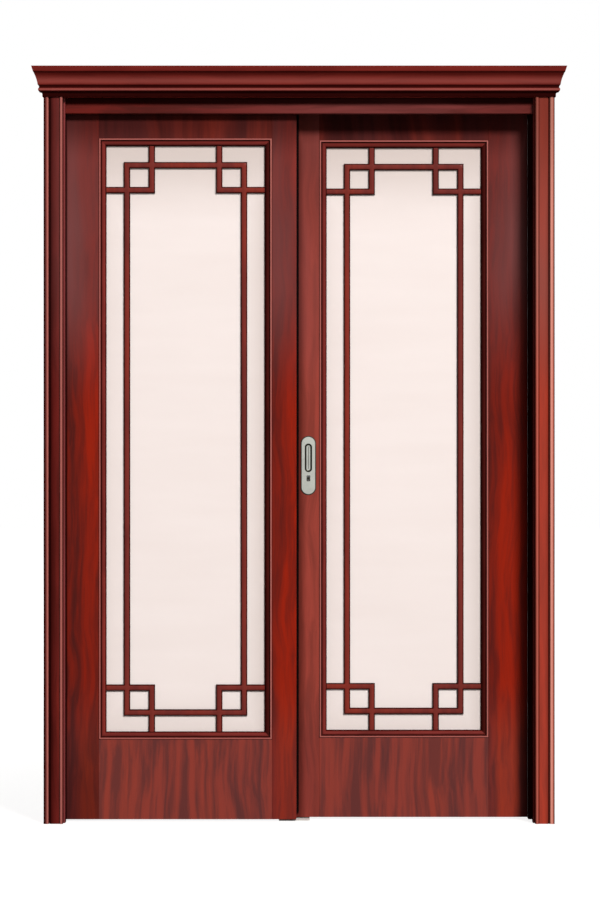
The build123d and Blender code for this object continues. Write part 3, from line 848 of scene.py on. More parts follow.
@dataclass(frozen=True)
class Dull:
    """Moulded plastic, rubber or pile with a mottled surface.

    Attributes:
        name: Name of the finish.
        dark: Darker colour.
        light: Lighter colour.
        mottle: Cycles of the mottle in a metre along X, Y and Z.
        rough: Lowest and highest roughness.
        depth: Height of the bumps in metres.
        sheen: Strength of the surface reflection.
        mottle_edge: Noise where the lighter colour begins and where it is full.
    """

    name: str
    dark: Colour
    light: Colour
    mottle: Place
    rough: Pair = (0.55, 0.8)
    depth: float = 0.0004
    sheen: float = 0.2
    mottle_edge: Pair = (0.3, 0.7)

    def material(self) -> bpy.types.Material:
        """Make the finish's material.

        Returns:
            The material.
        """
        material, sheet = new_material(self.name)
        mottle = sheet.noise(sheet.place(), self.mottle, detail=3.0)
        share = sheet.ramp(mottle, *self.mottle_edge)
        sheet.principled(
            Base_Color=sheet.mix(share, rgba(self.dark), rgba(self.light)),
            Roughness=sheet.span(mottle, *self.rough),
            Normal=sheet.bump(mottle, strength=0.35, distance=self.depth),
            Specular_IOR_Level=self.sheen,
        )
        return material


DEEP = Palette((0.080, 0.009, 0.007), (0.145, 0.014, 0.011), (0.200, 0.018, 0.010), 0.5)
# Lighter copy of the timber for the left jamb, whose edge is painted lit.
LIT_JAMB = Palette((0.150, 0.028, 0.027), (0.200, 0.036, 0.036), (0.220, 0.036, 0.034), 0.4)
# Darker copy of the timber for the top rails and the rear pelmet, as painted shade under the head.
SHADED_COPY = Palette((0.045, 0.008, 0.007), (0.090, 0.013, 0.011), (0.280, 0.030, 0.015), 0.8)
# Darker copy for the front pelmet, as painted shade under the crown, whose flames are a greyish painted
# sheen.
SHADED_SHEENED = Palette((0.060, 0.008, 0.006), (0.120, 0.011, 0.008), (0.170, 0.042, 0.040), 1.0)
CORNICE = Palette((0.125, 0.012, 0.009), (0.185, 0.018, 0.013), (0.240, 0.028, 0.020), 0.5)
WARM = Palette((0.070, 0.009, 0.007), (0.165, 0.012, 0.006), (0.275, 0.014, 0.004), 1.0, 0.62)
ROSY = Palette(
    (0.200, 0.036, 0.026), (0.300, 0.050, 0.035), (0.330, 0.052, 0.034), 0.5,
    sheen_colour=(0.215, 0.058, 0.056),
)
# Lit copy of the timber for the right casing, which faces the light, with a brighter painted highlight on
# its crests.
LIT_CASING = Palette(
    (0.270, 0.036, 0.022), (0.360, 0.042, 0.024), (0.430, 0.042, 0.016), 0.6,
    highlighted=(0.76, 0.30, 0.23), sheen_colour=(0.235, 0.060, 0.046),
)
SMOKY = Palette((0.105, 0.028, 0.026), (0.235, 0.040, 0.029), (0.290, 0.042, 0.024), 0.35, 0.88)
BEADS = Palette((0.120, 0.016, 0.013), (0.190, 0.025, 0.020), (0.240, 0.027, 0.017), 0.4)
BARS = Palette((0.120, 0.020, 0.017), (0.175, 0.027, 0.021), (0.255, 0.029, 0.015), 0.6)

FRAME_BOARDS: dict[str, tuple[Grain, Palette]] = {
    "jamb_left": (Grain.UPRIGHT, LIT_JAMB),
    "jamb_right": (Grain.UPRIGHT, DEEP),
    "casing_left": (Grain.UPRIGHT, DEEP),
    "casing_right": (Grain.UPRIGHT, LIT_CASING),
    "rear_casing_left": (Grain.UPRIGHT, DEEP),
    "rear_casing_right": (Grain.UPRIGHT, DEEP),
    "head_lining": (Grain.LEVEL, DEEP),
    "frieze": (Grain.LEVEL, CORNICE),
    "crown_front": (Grain.LEVEL, CORNICE),
    "crown_return_left": (Grain.LEVEL, CORNICE),
    "crown_return_right": (Grain.LEVEL, CORNICE),
    "pelmet_front": (Grain.LEVEL, SHADED_SHEENED),
    "pelmet_rear": (Grain.LEVEL, SHADED_COPY),
    "rear_casing_head": (Grain.LEVEL, DEEP),
}
LEAF_BOARDS: dict[str, tuple[Grain, Palette]] = {
    "jamb_stile": (Grain.UPRIGHT, WARM),
    "meeting_stile": (Grain.UPRIGHT, WARM),
    "top_rail": (Grain.UPRIGHT, SHADED_COPY),
    "bottom_rail": (Grain.UPRIGHT, SMOKY),
    "beads": (Grain.UPRIGHT, BEADS),
    "level_beads": (Grain.LEVEL, BEADS),
    "lattice": (Grain.UPRIGHT, BARS),
}
LEAVES = ("front_leaf", "rear_leaf")
OWN_PALETTES: dict[str, Palette] = {"rear_leaf_meeting_stile": ROSY}
BLUSHES: dict[str, Pair] = {
    # The front pelmet's flames bring in its painted sheen toward the right.
    "pelmet_front": (-0.45, 0.20),
    "front_leaf_jamb_stile": (-0.665, -0.615),
    "front_leaf_meeting_stile": (-0.090, -0.015),
    "rear_leaf_jamb_stile": (0.560, 0.620),
}
# Strength of the painted sheen by board.
PAINTED_SHEENS: dict[str, float] = {
    "jamb_stile": 0.95,
    "meeting_stile": 0.7,
    "top_rail": 0.3,
    "casing_left": 0.5,
    "casing_right": 0.9,
}
SHEEN_DRIFTS: dict[str, Pair] = {
    "front_leaf_jamb_stile": (-0.600, -0.670),
    "rear_leaf_jamb_stile": (0.565, 0.630),
}
FEET: dict[str, float] = {"jamb_stile": 0.8, "meeting_stile": 0.55}
COARSE: dict[str, float] = {"bottom_rail": 1.5}
# Painted shadow under the pelmet, on the top of each leaf.
UNDER_HEAD = PaintedShade(Axis.Z, 1.940, 2.085, 0.60)
# Painted shade in the bore of the rear leaf's meeting stile.
BORE_HEIGHT = PaintedShade(Axis.Z, 0.990, 0.994, 1.0, within=PaintedShade(Axis.Z, 1.035, 1.031, 1.0))
BORE_WIDTH = PaintedShade(Axis.X, 0.0420, 0.0400, 1.0, within=BORE_HEIGHT)
ROUND_BORE = PaintedShade(Axis.X, 0.0130, 0.0150, 0.97, within=BORE_WIDTH)
# Painted shadows by board: under the crown, under the pelmet, cast by the right jamb, in the corner by
# the left jamb, in the bore and beside the front leaf's edge. Besides, the right casing darkens toward
# its head, the front jamb stile toward the floor and the rear meeting stile toward its head.
PAINTED_SHADES: dict[str, tuple[PaintedShade, ...]] = {
    "pelmet_front": (PaintedShade(Axis.Z, 2.108, 2.122, 0.75),),
    "casing_right": (PaintedShade(Axis.Z, 1.700, 2.120, 0.40),),
    "front_leaf_jamb_stile": (
        UNDER_HEAD,
        PaintedShade(Axis.X, -0.6835, -0.6865),
        PaintedShade(Axis.Z, 0.42, 0.08, 0.45),
    ),
    "front_leaf_meeting_stile": (UNDER_HEAD,),
    "front_leaf_top_rail": (UNDER_HEAD,),
    "rear_leaf_jamb_stile": (UNDER_HEAD, PaintedShade(Axis.X, 0.655, 0.684, 0.6)),
    "rear_leaf_meeting_stile": (
        UNDER_HEAD,
        ROUND_BORE,
        PaintedShade(Axis.X, 0.026, -0.004, 0.6),
        PaintedShade(Axis.Z, 1.55, 1.98, 0.25),
    ),
    "rear_leaf_top_rail": (UNDER_HEAD,),
}
JAMB_FACE: Pair = (0.0005, 0.0025)  # from the front face, where the painted shade in a jamb's hollow begins and is full
JAMB_EDGE: Pair = (0.001, 0.004)  # the same from the outer edge
JAMB_REAR: Pair = (0.060, 0.030)  # Y where it ends and where it is full
FRAME_PITCH: Place = (0.37, 0.23, 0.61)  # from board to board in the log
LEAF_PITCH: Place = (0.31, 0.17, 0.43)
LEAF_START, LEAF_STRIDE = 20, 10  # first step of the leaves' boards, and steps from leaf to leaf


def log_place(pitch: Place, step: int) -> Place:
    """Place of a board in the log."""
    return tuple(length * step for length in pitch)


def jamb_shadows(node: str) -> tuple[PaintedShade, ...]:
    """Painted shade in the hollow of a jamb, where its shadow falls, clear of its front face, its outer
    edge and its rear part.

    Args:
        node: Name of the jamb.

    Returns:
        The painted shade, alone in a row.
    """
    low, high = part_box(node)
    outer, inward = (low.x, 1.0) if node.endswith(Side.LEFT.value) else (high.x, -1.0)
    start, end = (outer + step * inward for step in JAMB_EDGE)
    inside = PaintedShade(Axis.X, start, end, within=PaintedShade(Axis.Y, *JAMB_REAR))
    return (PaintedShade(Axis.Y, low.y + JAMB_FACE[0], low.y + JAMB_FACE[1], within=inside),)


def frame_timber(node: str) -> bpy.types.Material:
    """Finish of a board of the frame.

    Args:
        node: Name of the board.

    Returns:
        Its material.
    """
    grain, palette = FRAME_BOARDS[node]
    place = log_place(FRAME_PITCH, list(FRAME_BOARDS).index(node) + 1)
    painted_shades = jamb_shadows(node) if node.startswith("jamb") else PAINTED_SHADES.get(node, ())
    blush, painted_sheen = BLUSHES.get(node), PAINTED_SHEENS.get(node, 0.0)
    return Timber(f"mahogany_{node}", grain, palette, place, blush, painted_sheen, painted_shades=painted_shades).material()


def leaf_timber(leaf: str, board: str) -> bpy.types.Material:
    """Finish of a board of a leaf.

    Args:
        leaf: Name of the leaf.
        board: Name of the board in the leaf.

    Returns:
        Its material.
    """
    node = f"{leaf}_{board}"
    grain, palette = LEAF_BOARDS[board]
    step = LEAF_START + LEAF_STRIDE * LEAVES.index(leaf) + list(LEAF_BOARDS).index(board)
    return Timber(
        name=f"mahogany_{node}",
        grain=grain,
        palette=OWN_PALETTES.get(node, palette),
        offset=log_place(LEAF_PITCH, step),
        blush=BLUSHES.get(node),
        painted_sheen=PAINTED_SHEENS.get(board, 0.0),
        sheen_drift=SHEEN_DRIFTS.get(node),
        foot=FEET.get(board, 0.0),
        painted_shades=PAINTED_SHADES.get(node, ()),
        coarse=COARSE.get(board, 1.0),
    ).material()


Shares = Sequence[tuple[float, ...]]

CASING_SHARES: Shares = (
    (0.0, 0.0), (0.0, 0.72), (0.135, 1.0, 0.27, 0.72), (0.31, 0.66), (0.37, 0.84), (0.50, 0.84),
    (0.79, 0.84), (0.815, 0.77), (0.9075, 1.0, 1.0, 0.77), (1.0, 0.0),
)
CROWN_SHARES: Shares = (
    (0.0, 0.0), (0.09, 0.0), (0.09, 0.05), (0.14, 0.13, 0.30, 0.17), (0.36, 0.17),
    (0.44, 0.23, 0.36, 0.29), (0.36, 0.35), (0.47, 0.39), (0.585, 0.585, 0.76, 0.75),
    (0.76, 0.80), (0.84, 0.80), (0.88, 0.85), (1.0, 1.0), (0.0, 1.0),
)
BEAD_SHARES: Shares = (
    (0.0, 0.0), (0.0, 0.88), (0.14, 1.0, 0.28, 0.88), (0.36, 0.70), (0.45, 0.76),
    (0.74, 0.68, 0.92, 0.40), (1.0, 0.28), (1.0, 0.0),
)
ARC_STEPS = 24
BELL_REACH = 3.0  # where the bell curve that rounds corners is cut off, in its own widths
SHARP_ANGLE = math.radians(38.0)


def arc(start: Sequence[float], middle: Sequence[float], end: Sequence[float]) -> np.ndarray:
    """Points along the arc of under half a turn through three points.

    The points are taken as complex numbers.  The centre is the point equally far from all three, found
    from the ratio of the chords from the start.  The start's radius is turned about it in equal steps.

    Args:
        start: First end, which is left out of the result.
        middle: A point on the way.
        end: Last end.

    Returns:
        The points, one in a row.
    """
    first, on_way, last = (complex(*point) for point in (start, middle, end))
    share = (last - first) / (on_way - first)
    centre = first + (on_way - first) * (share - abs(share) ** 2) / (2j * share.imag)
    radius = first - centre
    angles = np.linspace(0.0, np.angle((last - centre) / radius), ARC_STEPS + 1)[1:]
    points = centre + radius * np.exp(1j * angles)
    return np.column_stack([points.real, points.imag])


@dataclass(frozen=True)
class Section:
    """Cross-section of a moulding.

    Attributes:
        shares: Corners as shares of width and height; a row of four is an arc through its first pair.
        crease_shade: Painted shade left at the end of each row, from 0 to 1: dark in grooves and on faces
            turned from the light.
        highlight: For some arcs by row, how strong the painted highlight on the crest is and how far that
            leans to the end.
        pitch: Spacing of the points along the section.
        softness: How far the corners are rounded.
    """

    shares: Shares
    crease_shade: Sequence[float]
    rub: dict[int, Pair]
    pitch: float = 0.0004
    softness: float = 0.0005

    def outline(self, width: float, height: float) -> tuple[np.ndarray, np.ndarray, np.ndarray]:
        """Closed outline of the section, with the painted shade and the painted highlight at each of its
        points.

        The painted shade goes evenly from one end of a row to the other.  Along an arc with a highlight
        it also falls by half a sine wave of the share, raised to the lean, and the painted highlight
        rises by that wave.  All is spaced out evenly by length, then averaged with a bell curve, which
        rounds the corners.

        Args:
            width: Width of the moulding.
            height: Height of the moulding.

        Returns:
            Points as rows of two lengths, the painted shade and the painted highlight.
        """
        size = np.array([width, height])
        ends = [np.array(row[-2:]) * size for row in self.shares]
        runs = [np.array([[*ends[0], self.crease_shade[0], 0.0]])]
        for number, row in enumerate(self.shares[1:], start=1):
            painted_shade = self.crease_shade[number]
            if len(row) == 2:
                runs.append(np.array([[*ends[number], painted_shade, 0.0]]))
                continue
            points = arc(ends[number - 1], np.array(row[:2]) * size, ends[number])
            share = np.arange(1, len(points) + 1) / len(points)
            strength, lean = self.rub.get(number, (0.0, 1.0))
            swell = np.sin(np.pi * share**lean) * (strength > 0.0)
            even = self.crease_shade[number - 1] * (1.0 - share) + painted_shade * share
            runs.append(np.column_stack([points, even * (1.0 - swell), strength * swell]))
        rows = np.vstack([*runs, runs[0]])
        along = np.concatenate([[0.0], np.cumsum(np.hypot(*np.diff(rows[:, :2], axis=0).T))])
        count = int(along[-1] / self.pitch)
        places = np.arange(count) * along[-1] / count
        rows = self._blur(np.column_stack([np.interp(places, along, column) for column in rows.T]))
        return rows[:, :2], rows[:, 2], rows[:, 3]

    def _blur(self, rows: np.ndarray) -> np.ndarray:
        """Average round the closed outline with a bell curve.

        Args:
            rows: One row for each point.

        Returns:
            The averaged rows.
        """
        last = int(BELL_REACH * self.softness / self.pitch) + 1
        taps = np.arange(-last, last + 1)
        weights = np.exp(-0.5 * (taps * self.pitch / self.softness) ** 2)
        rolled = np.stack([np.roll(rows, tap, axis=0) for tap in taps])
        return np.tensordot(weights / weights.sum(), rolled, axes=1)


@dataclass(frozen=True)
class Run:
    """A straight length of moulding in space.

    Attributes:
        origin: Where the section's own corner lies.
        across: Direction of the section's width.
        outward: Direction of the section's height.
        along: Direction of the length.
        start: Place of the first end along the length, and how it moves with the width.
        end: Place of the last end along the length, and how it moves with the width.
    """

    origin: Place
    across: Place
    outward: Place
    along: Place
    start: Pair
    end: Pair

    def surface(self, outline: np.ndarray) -> tuple[np.ndarray, list[np.ndarray]]:
        """Skin and ends of the length.

        A vertex is the origin plus its width, height and length along the three directions; the length
        at each end is that end's place plus its slope times the width, which cuts the mitre.

        Args:
            outline: Closed outline of the section.

        Returns:
            Vertices, and faces as blocks with one face in a row.
        """
        base = np.array(self.origin) + outline[:, :1] * np.array(self.across)
        base = base + outline[:, 1:] * np.array(self.outward)
        rings = [
            base + (place + slope * outline[:, :1]) * np.array(self.along)
            for place, slope in (self.start, self.end)
        ]
        count = len(outline)
        near = np.arange(count)
        far = np.roll(near, -1)
        quads = np.column_stack([near, far, far + count, near + count])
        return np.vstack(rings), [quads, np.stack([near, near + count])]


class Shell:
    """Surfaces gathered into one piece of the door."""

    def __init__(self) -> None:
        """Start empty."""
        self.points: list[np.ndarray] = []
        self.crease_shade: list[np.ndarray] = []
        self.rub: list[np.ndarray] = []
        self.faces: list[list[int]] = []
        self.finishes: list[int] = []
        self.count = 0

    def add(
        self,
        points: np.ndarray,
        blocks: Sequence[np.ndarray],
        crease_shade: np.ndarray,
        rub: np.ndarray,
        finish: int = 0,
    ) -> None:
        """Add a surface.

        Args:
            points: Vertices.
            blocks: Vertex numbers of the faces, one face in a row.
            crease_shade: Painted shade at each vertex.
            highlight: Strength of the painted highlight at each vertex.
            finish: Number of the finish.
        """
        self.points.append(points)
        self.crease_shade.append(crease_shade)
        self.rub.append(rub)
        for block in blocks:
            self.faces.extend((block + self.count).tolist())
            self.finishes.extend([finish] * len(block))
        self.count += len(points)

    def sweep(
        self, section: Section, width: float, height: float, runs: Sequence[Run], finish: int = 0
    ) -> None:
        """Add lengths of one moulding.

        Args:
            section: The moulding's section.
            width: Its width.
            height: Its height.
            runs: The lengths.
            finish: Number of their finish.
        """
        outline, crease_shade, rub = section.outline(width, height)
        for run in runs:
            points, blocks = run.surface(outline)
            self.add(points, blocks, np.tile(crease_shade, 2), np.tile(rub, 2), finish)

    def piece(self, node: str, body: str, materials: Sequence[bpy.types.Material]) -> None:
        """Make the piece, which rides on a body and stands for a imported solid.

        Args:
            node: Name of the solid.
            body: Name of the body.
            materials: Its finishes.
        """
        name = f"{node}_shape"
        mesh = bpy.data.meshes.new(name)
        mesh.from_pydata(np.vstack(self.points).tolist(), [], self.faces)
        for material in materials:
            mesh.materials.append(material)
        mesh.polygons.foreach_set("material_index", self.finishes)
        for label, values in (("crease_shade", self.crease_shade), ("rub", self.rub)):
            shade = mesh.attributes.new(label, "FLOAT", "POINT")
            shade.data.foreach_set("value", np.concatenate(values).astype(np.float32))
        draft = bmesh.new()
        draft.from_mesh(mesh)
        bmesh.ops.recalc_face_normals(draft, faces=draft.faces)
        draft.to_mesh(mesh)
        draft.free()
        mesh.shade_smooth()
        mesh.set_sharp_from_angle(angle=SHARP_ANGLE)
        piece = bpy.data.objects.new(name, mesh)
        bpy.context.scene.collection.objects.link(piece)
        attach(piece, body)
        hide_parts(node)
        LOG.info("shaped %s with %d faces", name, len(self.faces))


BEAD_WIDTH = 0.022
# The two casing sections differ in painted shade and highlight, as the light falls from the right: more
# painted shade on the left one's flat, a brighter highlight on the right one's outer bead.
LEFT_CASING = Section(
    CASING_SHARES,
    (1.0, 1.0, 0.9, 1.0, 0.85, 0.45, 0.0, 1.0, 0.9, 1.0),
    {2: (1.0, 2.4), 8: (1.0, 1.0)},
)
RIGHT_CASING = Section(
    CASING_SHARES,
    (1.0, 1.0, 0.9, 1.0, 0.25, 0.0, 0.0, 1.0, 0.9, 1.0),
    {2: (1.08, 1.45), 8: (0.5, 1.0)},
)
CASINGS: dict[Side, Section] = {Side.LEFT: LEFT_CASING, Side.RIGHT: RIGHT_CASING}
CROWN_SECTION = Section(
    CROWN_SHARES,
    (1.0, 1.0, 1.0, 0.9, 1.0, 0.8, 1.0, 0.3, 0.7, 1.0, 1.0, 0.1, 0.0, 0.0),
    {5: (0.7, 1.0), 8: (0.5, 0.6)},
)
BEAD_SECTION = Section(
    BEAD_SHARES,
    (1.0, 0.9, 0.9, 1.0, 0.2, 0.9, 1.0, 1.0),
    {2: (1.05, 1.0), 5: (0.1, 1.0)},
)
# Bead for the right side of a pane, with painted shade on its inner slope, which faces away from the
# light.
SHADED_BEAD_SECTION = Section(
    BEAD_SHARES,
    (1.0, 0.9, 0.9, 1.0, 0.75, 0.85, 1.0, 1.0),
    {2: (1.2, 1.0)},
)


@dataclass(frozen=True)
class FrameMouldings:
    """Casings and crown of the lining frame.

    Attributes:
        body: The body that they ride on.
    """

    body: str = "frame"

    def build(self) -> None:
        """Shape every moulding of the frame."""
        for side in Side:
            for face in Face:
                self.casing(side, face)
            self.crown_return(side)
        self.rear_head()
        self.crown_front()

    def _shape(self, node: str, section: Section, width: float, height: float, run: Run) -> None:
        """Shape one length of moulding in place of its solid.

        Args:
            node: Name of the solid.
            section: The moulding's section.
            width: Its width.
            height: Its height.
            run: The length.
        """
        shell = Shell()
        shell.sweep(section, width, height, [run])
        shell.piece(node, self.body, [frame_timber(node)])

    def casing(self, side: Side, face: Face) -> None:
        """Upright casing, square at both ends on the front and mitred at its head on the rear.

        Args:
            side: Its side of the door.
            face: Its face of the door.
        """
        front = face is Face.FRONT
        node = f"casing_{side.value}" if front else f"rear_casing_{side.value}"
        low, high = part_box(node)
        edge, across = (low.x, RIGHT) if side is Side.LEFT else (high.x, LEFT)
        origin, head = (edge, face.planes(low, high)[0], low.z), 0.0 if front else -1.0
        run = Run(origin, across, face.outward(), UP, (0.0, 0.0), (high.z - low.z, head))
        self._shape(node, CASINGS[side], high.x - low.x, high.y - low.y, run)

    def rear_head(self) -> None:
        """Level rear casing, mitred at both ends."""
        node = "rear_casing_head"
        low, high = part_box(node)
        run = Run((0.0, low.y, high.z), DOWN, BACK, RIGHT, (low.x, 1.0), (high.x, -1.0))
        self._shape(node, LEFT_CASING, high.z - low.z, high.y - low.y, run)

    def crown_front(self) -> None:
        """Front length of the crown, mitred outward at both ends."""
        node = "crown_front"
        low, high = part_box(node)
        reach = high.y - low.y
        run = Run((0.0, high.y, low.z), FRONT, UP, RIGHT, (low.x + reach, -1.0), (high.x - reach, 1.0))
        self._shape(node, CROWN_SECTION, reach, high.z - low.z, run)

    def crown_return(self, side: Side) -> None:
        """Side length of the crown, mitred at its front and square at the wall.

        Args:
            side: Its side of the door.
        """
        node = f"crown_return_{side.value}"
        low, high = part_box(node)
        reach = high.x - low.x
        edge, across = (high.x, LEFT) if side is Side.LEFT else (low.x, RIGHT)
        run = Run((edge, 0.0, low.z), across, UP, BACK, (low.y + reach, -1.0), (high.y, 0.0))
        self._shape(node, CROWN_SECTION, reach, high.z - low.z, run)


@dataclass(frozen=True)
class LatticeSizes:
    """Sizes of the lattice.

    Attributes:
        bar: Width of a bar.
        side_inset: From the beads to the ring, across.
        end_inset: From the beads to the ring, up and down.
        corner: Clear side of a corner square.
        slope: Width of the worn slope along each edge of a bar.
        drop: How far that slope falls.
    """

    bar: float = 0.0185
    side_inset: float = 0.0515
    end_inset: float = 0.047
    corner: float = 0.055
    slope: float = 0.0042
    drop: float = 0.0020


@dataclass(frozen=True)
class BarGrid:
    """Grid over the bars of a lattice, about the middle of the pane.

    Attributes:
        bars: Rows of lowest X, highest X, lowest Z and highest Z of each bar.
        half: Half the clear width and height between the beads.
        slope: Width of the worn slope along each edge of a bar.
        knee: Share of the slope's width where it turns flatter.
        knee_level: Level of the slope there.
        hair: Length that counts as nothing.
        digits: Decimal places that tell two lines apart.
    """

    bars: np.ndarray
    half: Pair
    slope: float
    knee: float = 0.4
    knee_level: float = 0.3
    hair: float = 1e-6
    digits: int = 7

    def covered(self, x: np.ndarray, z: np.ndarray) -> np.ndarray:
        """Whether points lie in some bar.

        Args:
            x: X of the points.
            z: Z of the points.

        Returns:
            True or false for each point.
        """
        left, right, bottom, top = self.bars.T
        x, z = x[..., None], z[..., None]
        return ((x > left) & (x < right) & (z > bottom) & (z < top)).any(axis=-1)

    def lines(self) -> list[np.ndarray]:
        """Places of the grid's lines.

        The lines are all edges of the bars, and lines a slope's width and a knee's width to both
        sides of them, as far as they lie between the beads.

        Returns:
            Places along X and places along Z.
        """
        steps = self.slope * np.array([-1.0, -self.knee, 0.0, self.knee, 1.0])
        lines = []
        for columns, half in zip((self.bars[:, :2], self.bars[:, 2:]), self.half):
            places = np.round((columns.ravel()[:, None] + steps).ravel(), self.digits)
            lines.append(np.unique(places[np.abs(places) <= half + self.hair]))
        return lines

    def level(self, x: np.ndarray, z: np.ndarray) -> np.ndarray:
        """How far points stand up the slope.

        A point is at full height if the square of a slope's width to each side of it lies in the bars,
        and at the knee if the square of a knee's width does.  Squares end at the beads.

        Args:
            x: X of the points.
            z: Z of the points.

        Returns:
            The level of each point, from 0 at a bar's edge to 1 at full height.
        """
        limit_x, limit_z = (half - self.hair for half in self.half)
        level = np.zeros(x.shape)
        for width, height in ((self.knee * self.slope, self.knee_level), (self.slope, 1.0)):
            reach = width - self.hair
            across = [np.clip(x + side * reach, -limit_x, limit_x) for side in (-1.0, 1.0)]
            upright = [np.clip(z + side * reach, -limit_z, limit_z) for side in (-1.0, 1.0)]
            corners = [self.covered(a, b) for a in across for b in upright]
            level = np.where(np.logical_and.reduce(corners), height, level)
        return level


def rim_edges(quads: np.ndarray) -> np.ndarray:
    """Edges that only one face uses.

    Args:
        quads: Four vertex numbers of each face.

    Returns:
        Two vertex numbers of each edge, in the order of its face.
    """
    edges = np.vstack([quads[:, [corner, (corner + 1) % 4]] for corner in range(4)])
    keys = np.sort(edges, axis=1)
    _, first, uses = np.unique(keys, axis=0, return_index=True, return_counts=True)
    return edges[first[uses == 1]]


@dataclass(frozen=True)
class Glazing:
    """Beads and lattice of one leaf.

    Attributes:
        leaf: The leaf's body.
        sizes: Sizes of its lattice.
    """

    leaf: str
    sizes: LatticeSizes = LatticeSizes()

    def build(self) -> None:
        """Shape the beads and bars on both faces."""
        for face in Face:
            self.beads(face)
            self.lattice(face)

    def beads(self, face: Face) -> None:
        """Four mitred beads round the pane, with more painted shade on the right one, which faces away
        from the light.

        Args:
            face: The face of the leaf.
        """
        node = f"{self.leaf}_{face.value}_beads"
        low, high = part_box(node)
        depth, outward, height = face.planes(low, high)[0], face.outward(), high.y - low.y
        upright, level = ((low.z, 1.0), (high.z, -1.0)), ((low.x, 1.0), (high.x, -1.0))
        left = Run((low.x, depth, 0.0), RIGHT, outward, UP, *upright)
        bottom = Run((0.0, depth, low.z), UP, outward, RIGHT, *level)
        top = Run((0.0, depth, high.z), DOWN, outward, RIGHT, *level)
        right = Run((high.x, depth, 0.0), LEFT, outward, UP, *upright)
        shell = Shell()
        shell.sweep(BEAD_SECTION, BEAD_WIDTH, height, [left])
        shell.sweep(BEAD_SECTION, BEAD_WIDTH, height, [bottom, top], finish=1)
        shell.sweep(SHADED_BEAD_SECTION, BEAD_WIDTH, height, [right])
        shell.piece(node, self.leaf, [leaf_timber(self.leaf, way) for way in ("beads", "level_beads")])

    def bars(self, half: Pair) -> np.ndarray:
        """Rectangles of the ring and of the stubs that cross it, about the middle of the pane.

        Args:
            half: Half the clear width and height between the beads.

        Returns:
            Rows of lowest X, highest X, lowest Z and highest Z.
        """
        size = self.sizes
        ring_x, ring_z = half[0] - size.side_inset, half[1] - size.end_inset
        inner_x = ring_x - 2.0 * size.bar - size.corner
        inner_z = ring_z - 2.0 * size.bar - size.corner
        corner = np.array(
            [
                [ring_x - size.bar, ring_x, -ring_z, ring_z],
                [-ring_x, ring_x, ring_z - size.bar, ring_z],
                [inner_x, inner_x + size.bar, inner_z, half[1]],
                [inner_x, half[0], inner_z, inner_z + size.bar],
            ]
        )
        rows = np.vstack([corner * [a, a, b, b] for a in (1.0, -1.0) for b in (1.0, -1.0)])
        return np.hstack([np.sort(rows[:, :2], axis=1), np.sort(rows[:, 2:], axis=1)])

    def lattice(self, face: Face) -> None:
        """Ring with interlocking corner squares, as one stepped grid.

        A cell belongs to the lattice if its centre is in some bar.  Its vertices lie below the top by
        the drop times one minus their level.  Edges that only one cell uses get an upright side down
        to the pane.

        Args:
            face: The face of the leaf.
        """
        node = f"{self.leaf}_{face.value}_lattice"
        low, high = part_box(node)
        half = ((high.x - low.x) / 2.0, (high.z - low.z) / 2.0)
        grid = BarGrid(self.bars(half), half, self.sizes.slope)
        x, z = np.meshgrid(*grid.lines(), indexing="ij")
        level = grid.level(x, z)
        numbers = np.arange(x.size).reshape(x.shape)
        corners = [numbers[:-1, :-1], numbers[1:, :-1], numbers[1:, 1:], numbers[:-1, 1:]]
        centres = [(line[1:, 1:] + line[:-1, :-1]) / 2.0 for line in (x, z)]
        quads = np.stack(corners, axis=-1)[grid.covered(*centres)]
        base, top = face.planes(low, high)
        heights = top + math.copysign(self.sizes.drop, base - top) * (1.0 - level)
        middle_x, middle_z = (low.x + high.x) / 2.0, (low.z + high.z) / 2.0
        upper = np.column_stack([x.ravel() + middle_x, heights.ravel(), z.ravel() + middle_z])
        lower = upper.copy()
        lower[:, 1] = base
        rim = rim_edges(quads)
        faces = np.vstack([quads, np.column_stack([rim[:, ::-1], rim + x.size])])
        points = np.vstack([upper, lower])
        # Painted shade on the bars' slopes and sides, darkest where they meet the pane.
        crease_shade = np.concatenate([1.0 - level.ravel() ** 2, np.ones(x.size)])
        used, packed = np.unique(faces, return_inverse=True)
        shell = Shell()
        shell.add(points[used], [packed.reshape(faces.shape)], crease_shade[used], np.zeros(used.size))
        shell.piece(node, self.leaf, [leaf_timber(self.leaf, "lattice")])


NICKEL: Colour = (0.36, 0.37, 0.335)
NICKEL_BRUSHING: Place = (900.0, 900.0, 40.0)
SPINDLE = Metal("buried_nickel", NICKEL, NICKEL_BRUSHING, shade_mask=BuriedShade())
TRACK = Metal("track_aluminium", (0.80, 0.80, 0.81), (20.0, 700.0, 700.0))
ZINC = Metal("zinc_steel", (0.60, 0.61, 0.63), (120.0, 120.0, 120.0), rough=(0.3, 0.5))
NYLON = Dull("black_nylon", (0.012, 0.012, 0.013), (0.03, 0.03, 0.032), (300.0, 300.0, 300.0))
GUIDE = Dull("pale_nylon", (0.62, 0.61, 0.58), (0.74, 0.73, 0.70), (200.0, 200.0, 200.0))
RUBBER = Dull("stop_rubber", (0.01, 0.01, 0.01), (0.022, 0.022, 0.022), (160.0, 160.0, 160.0))
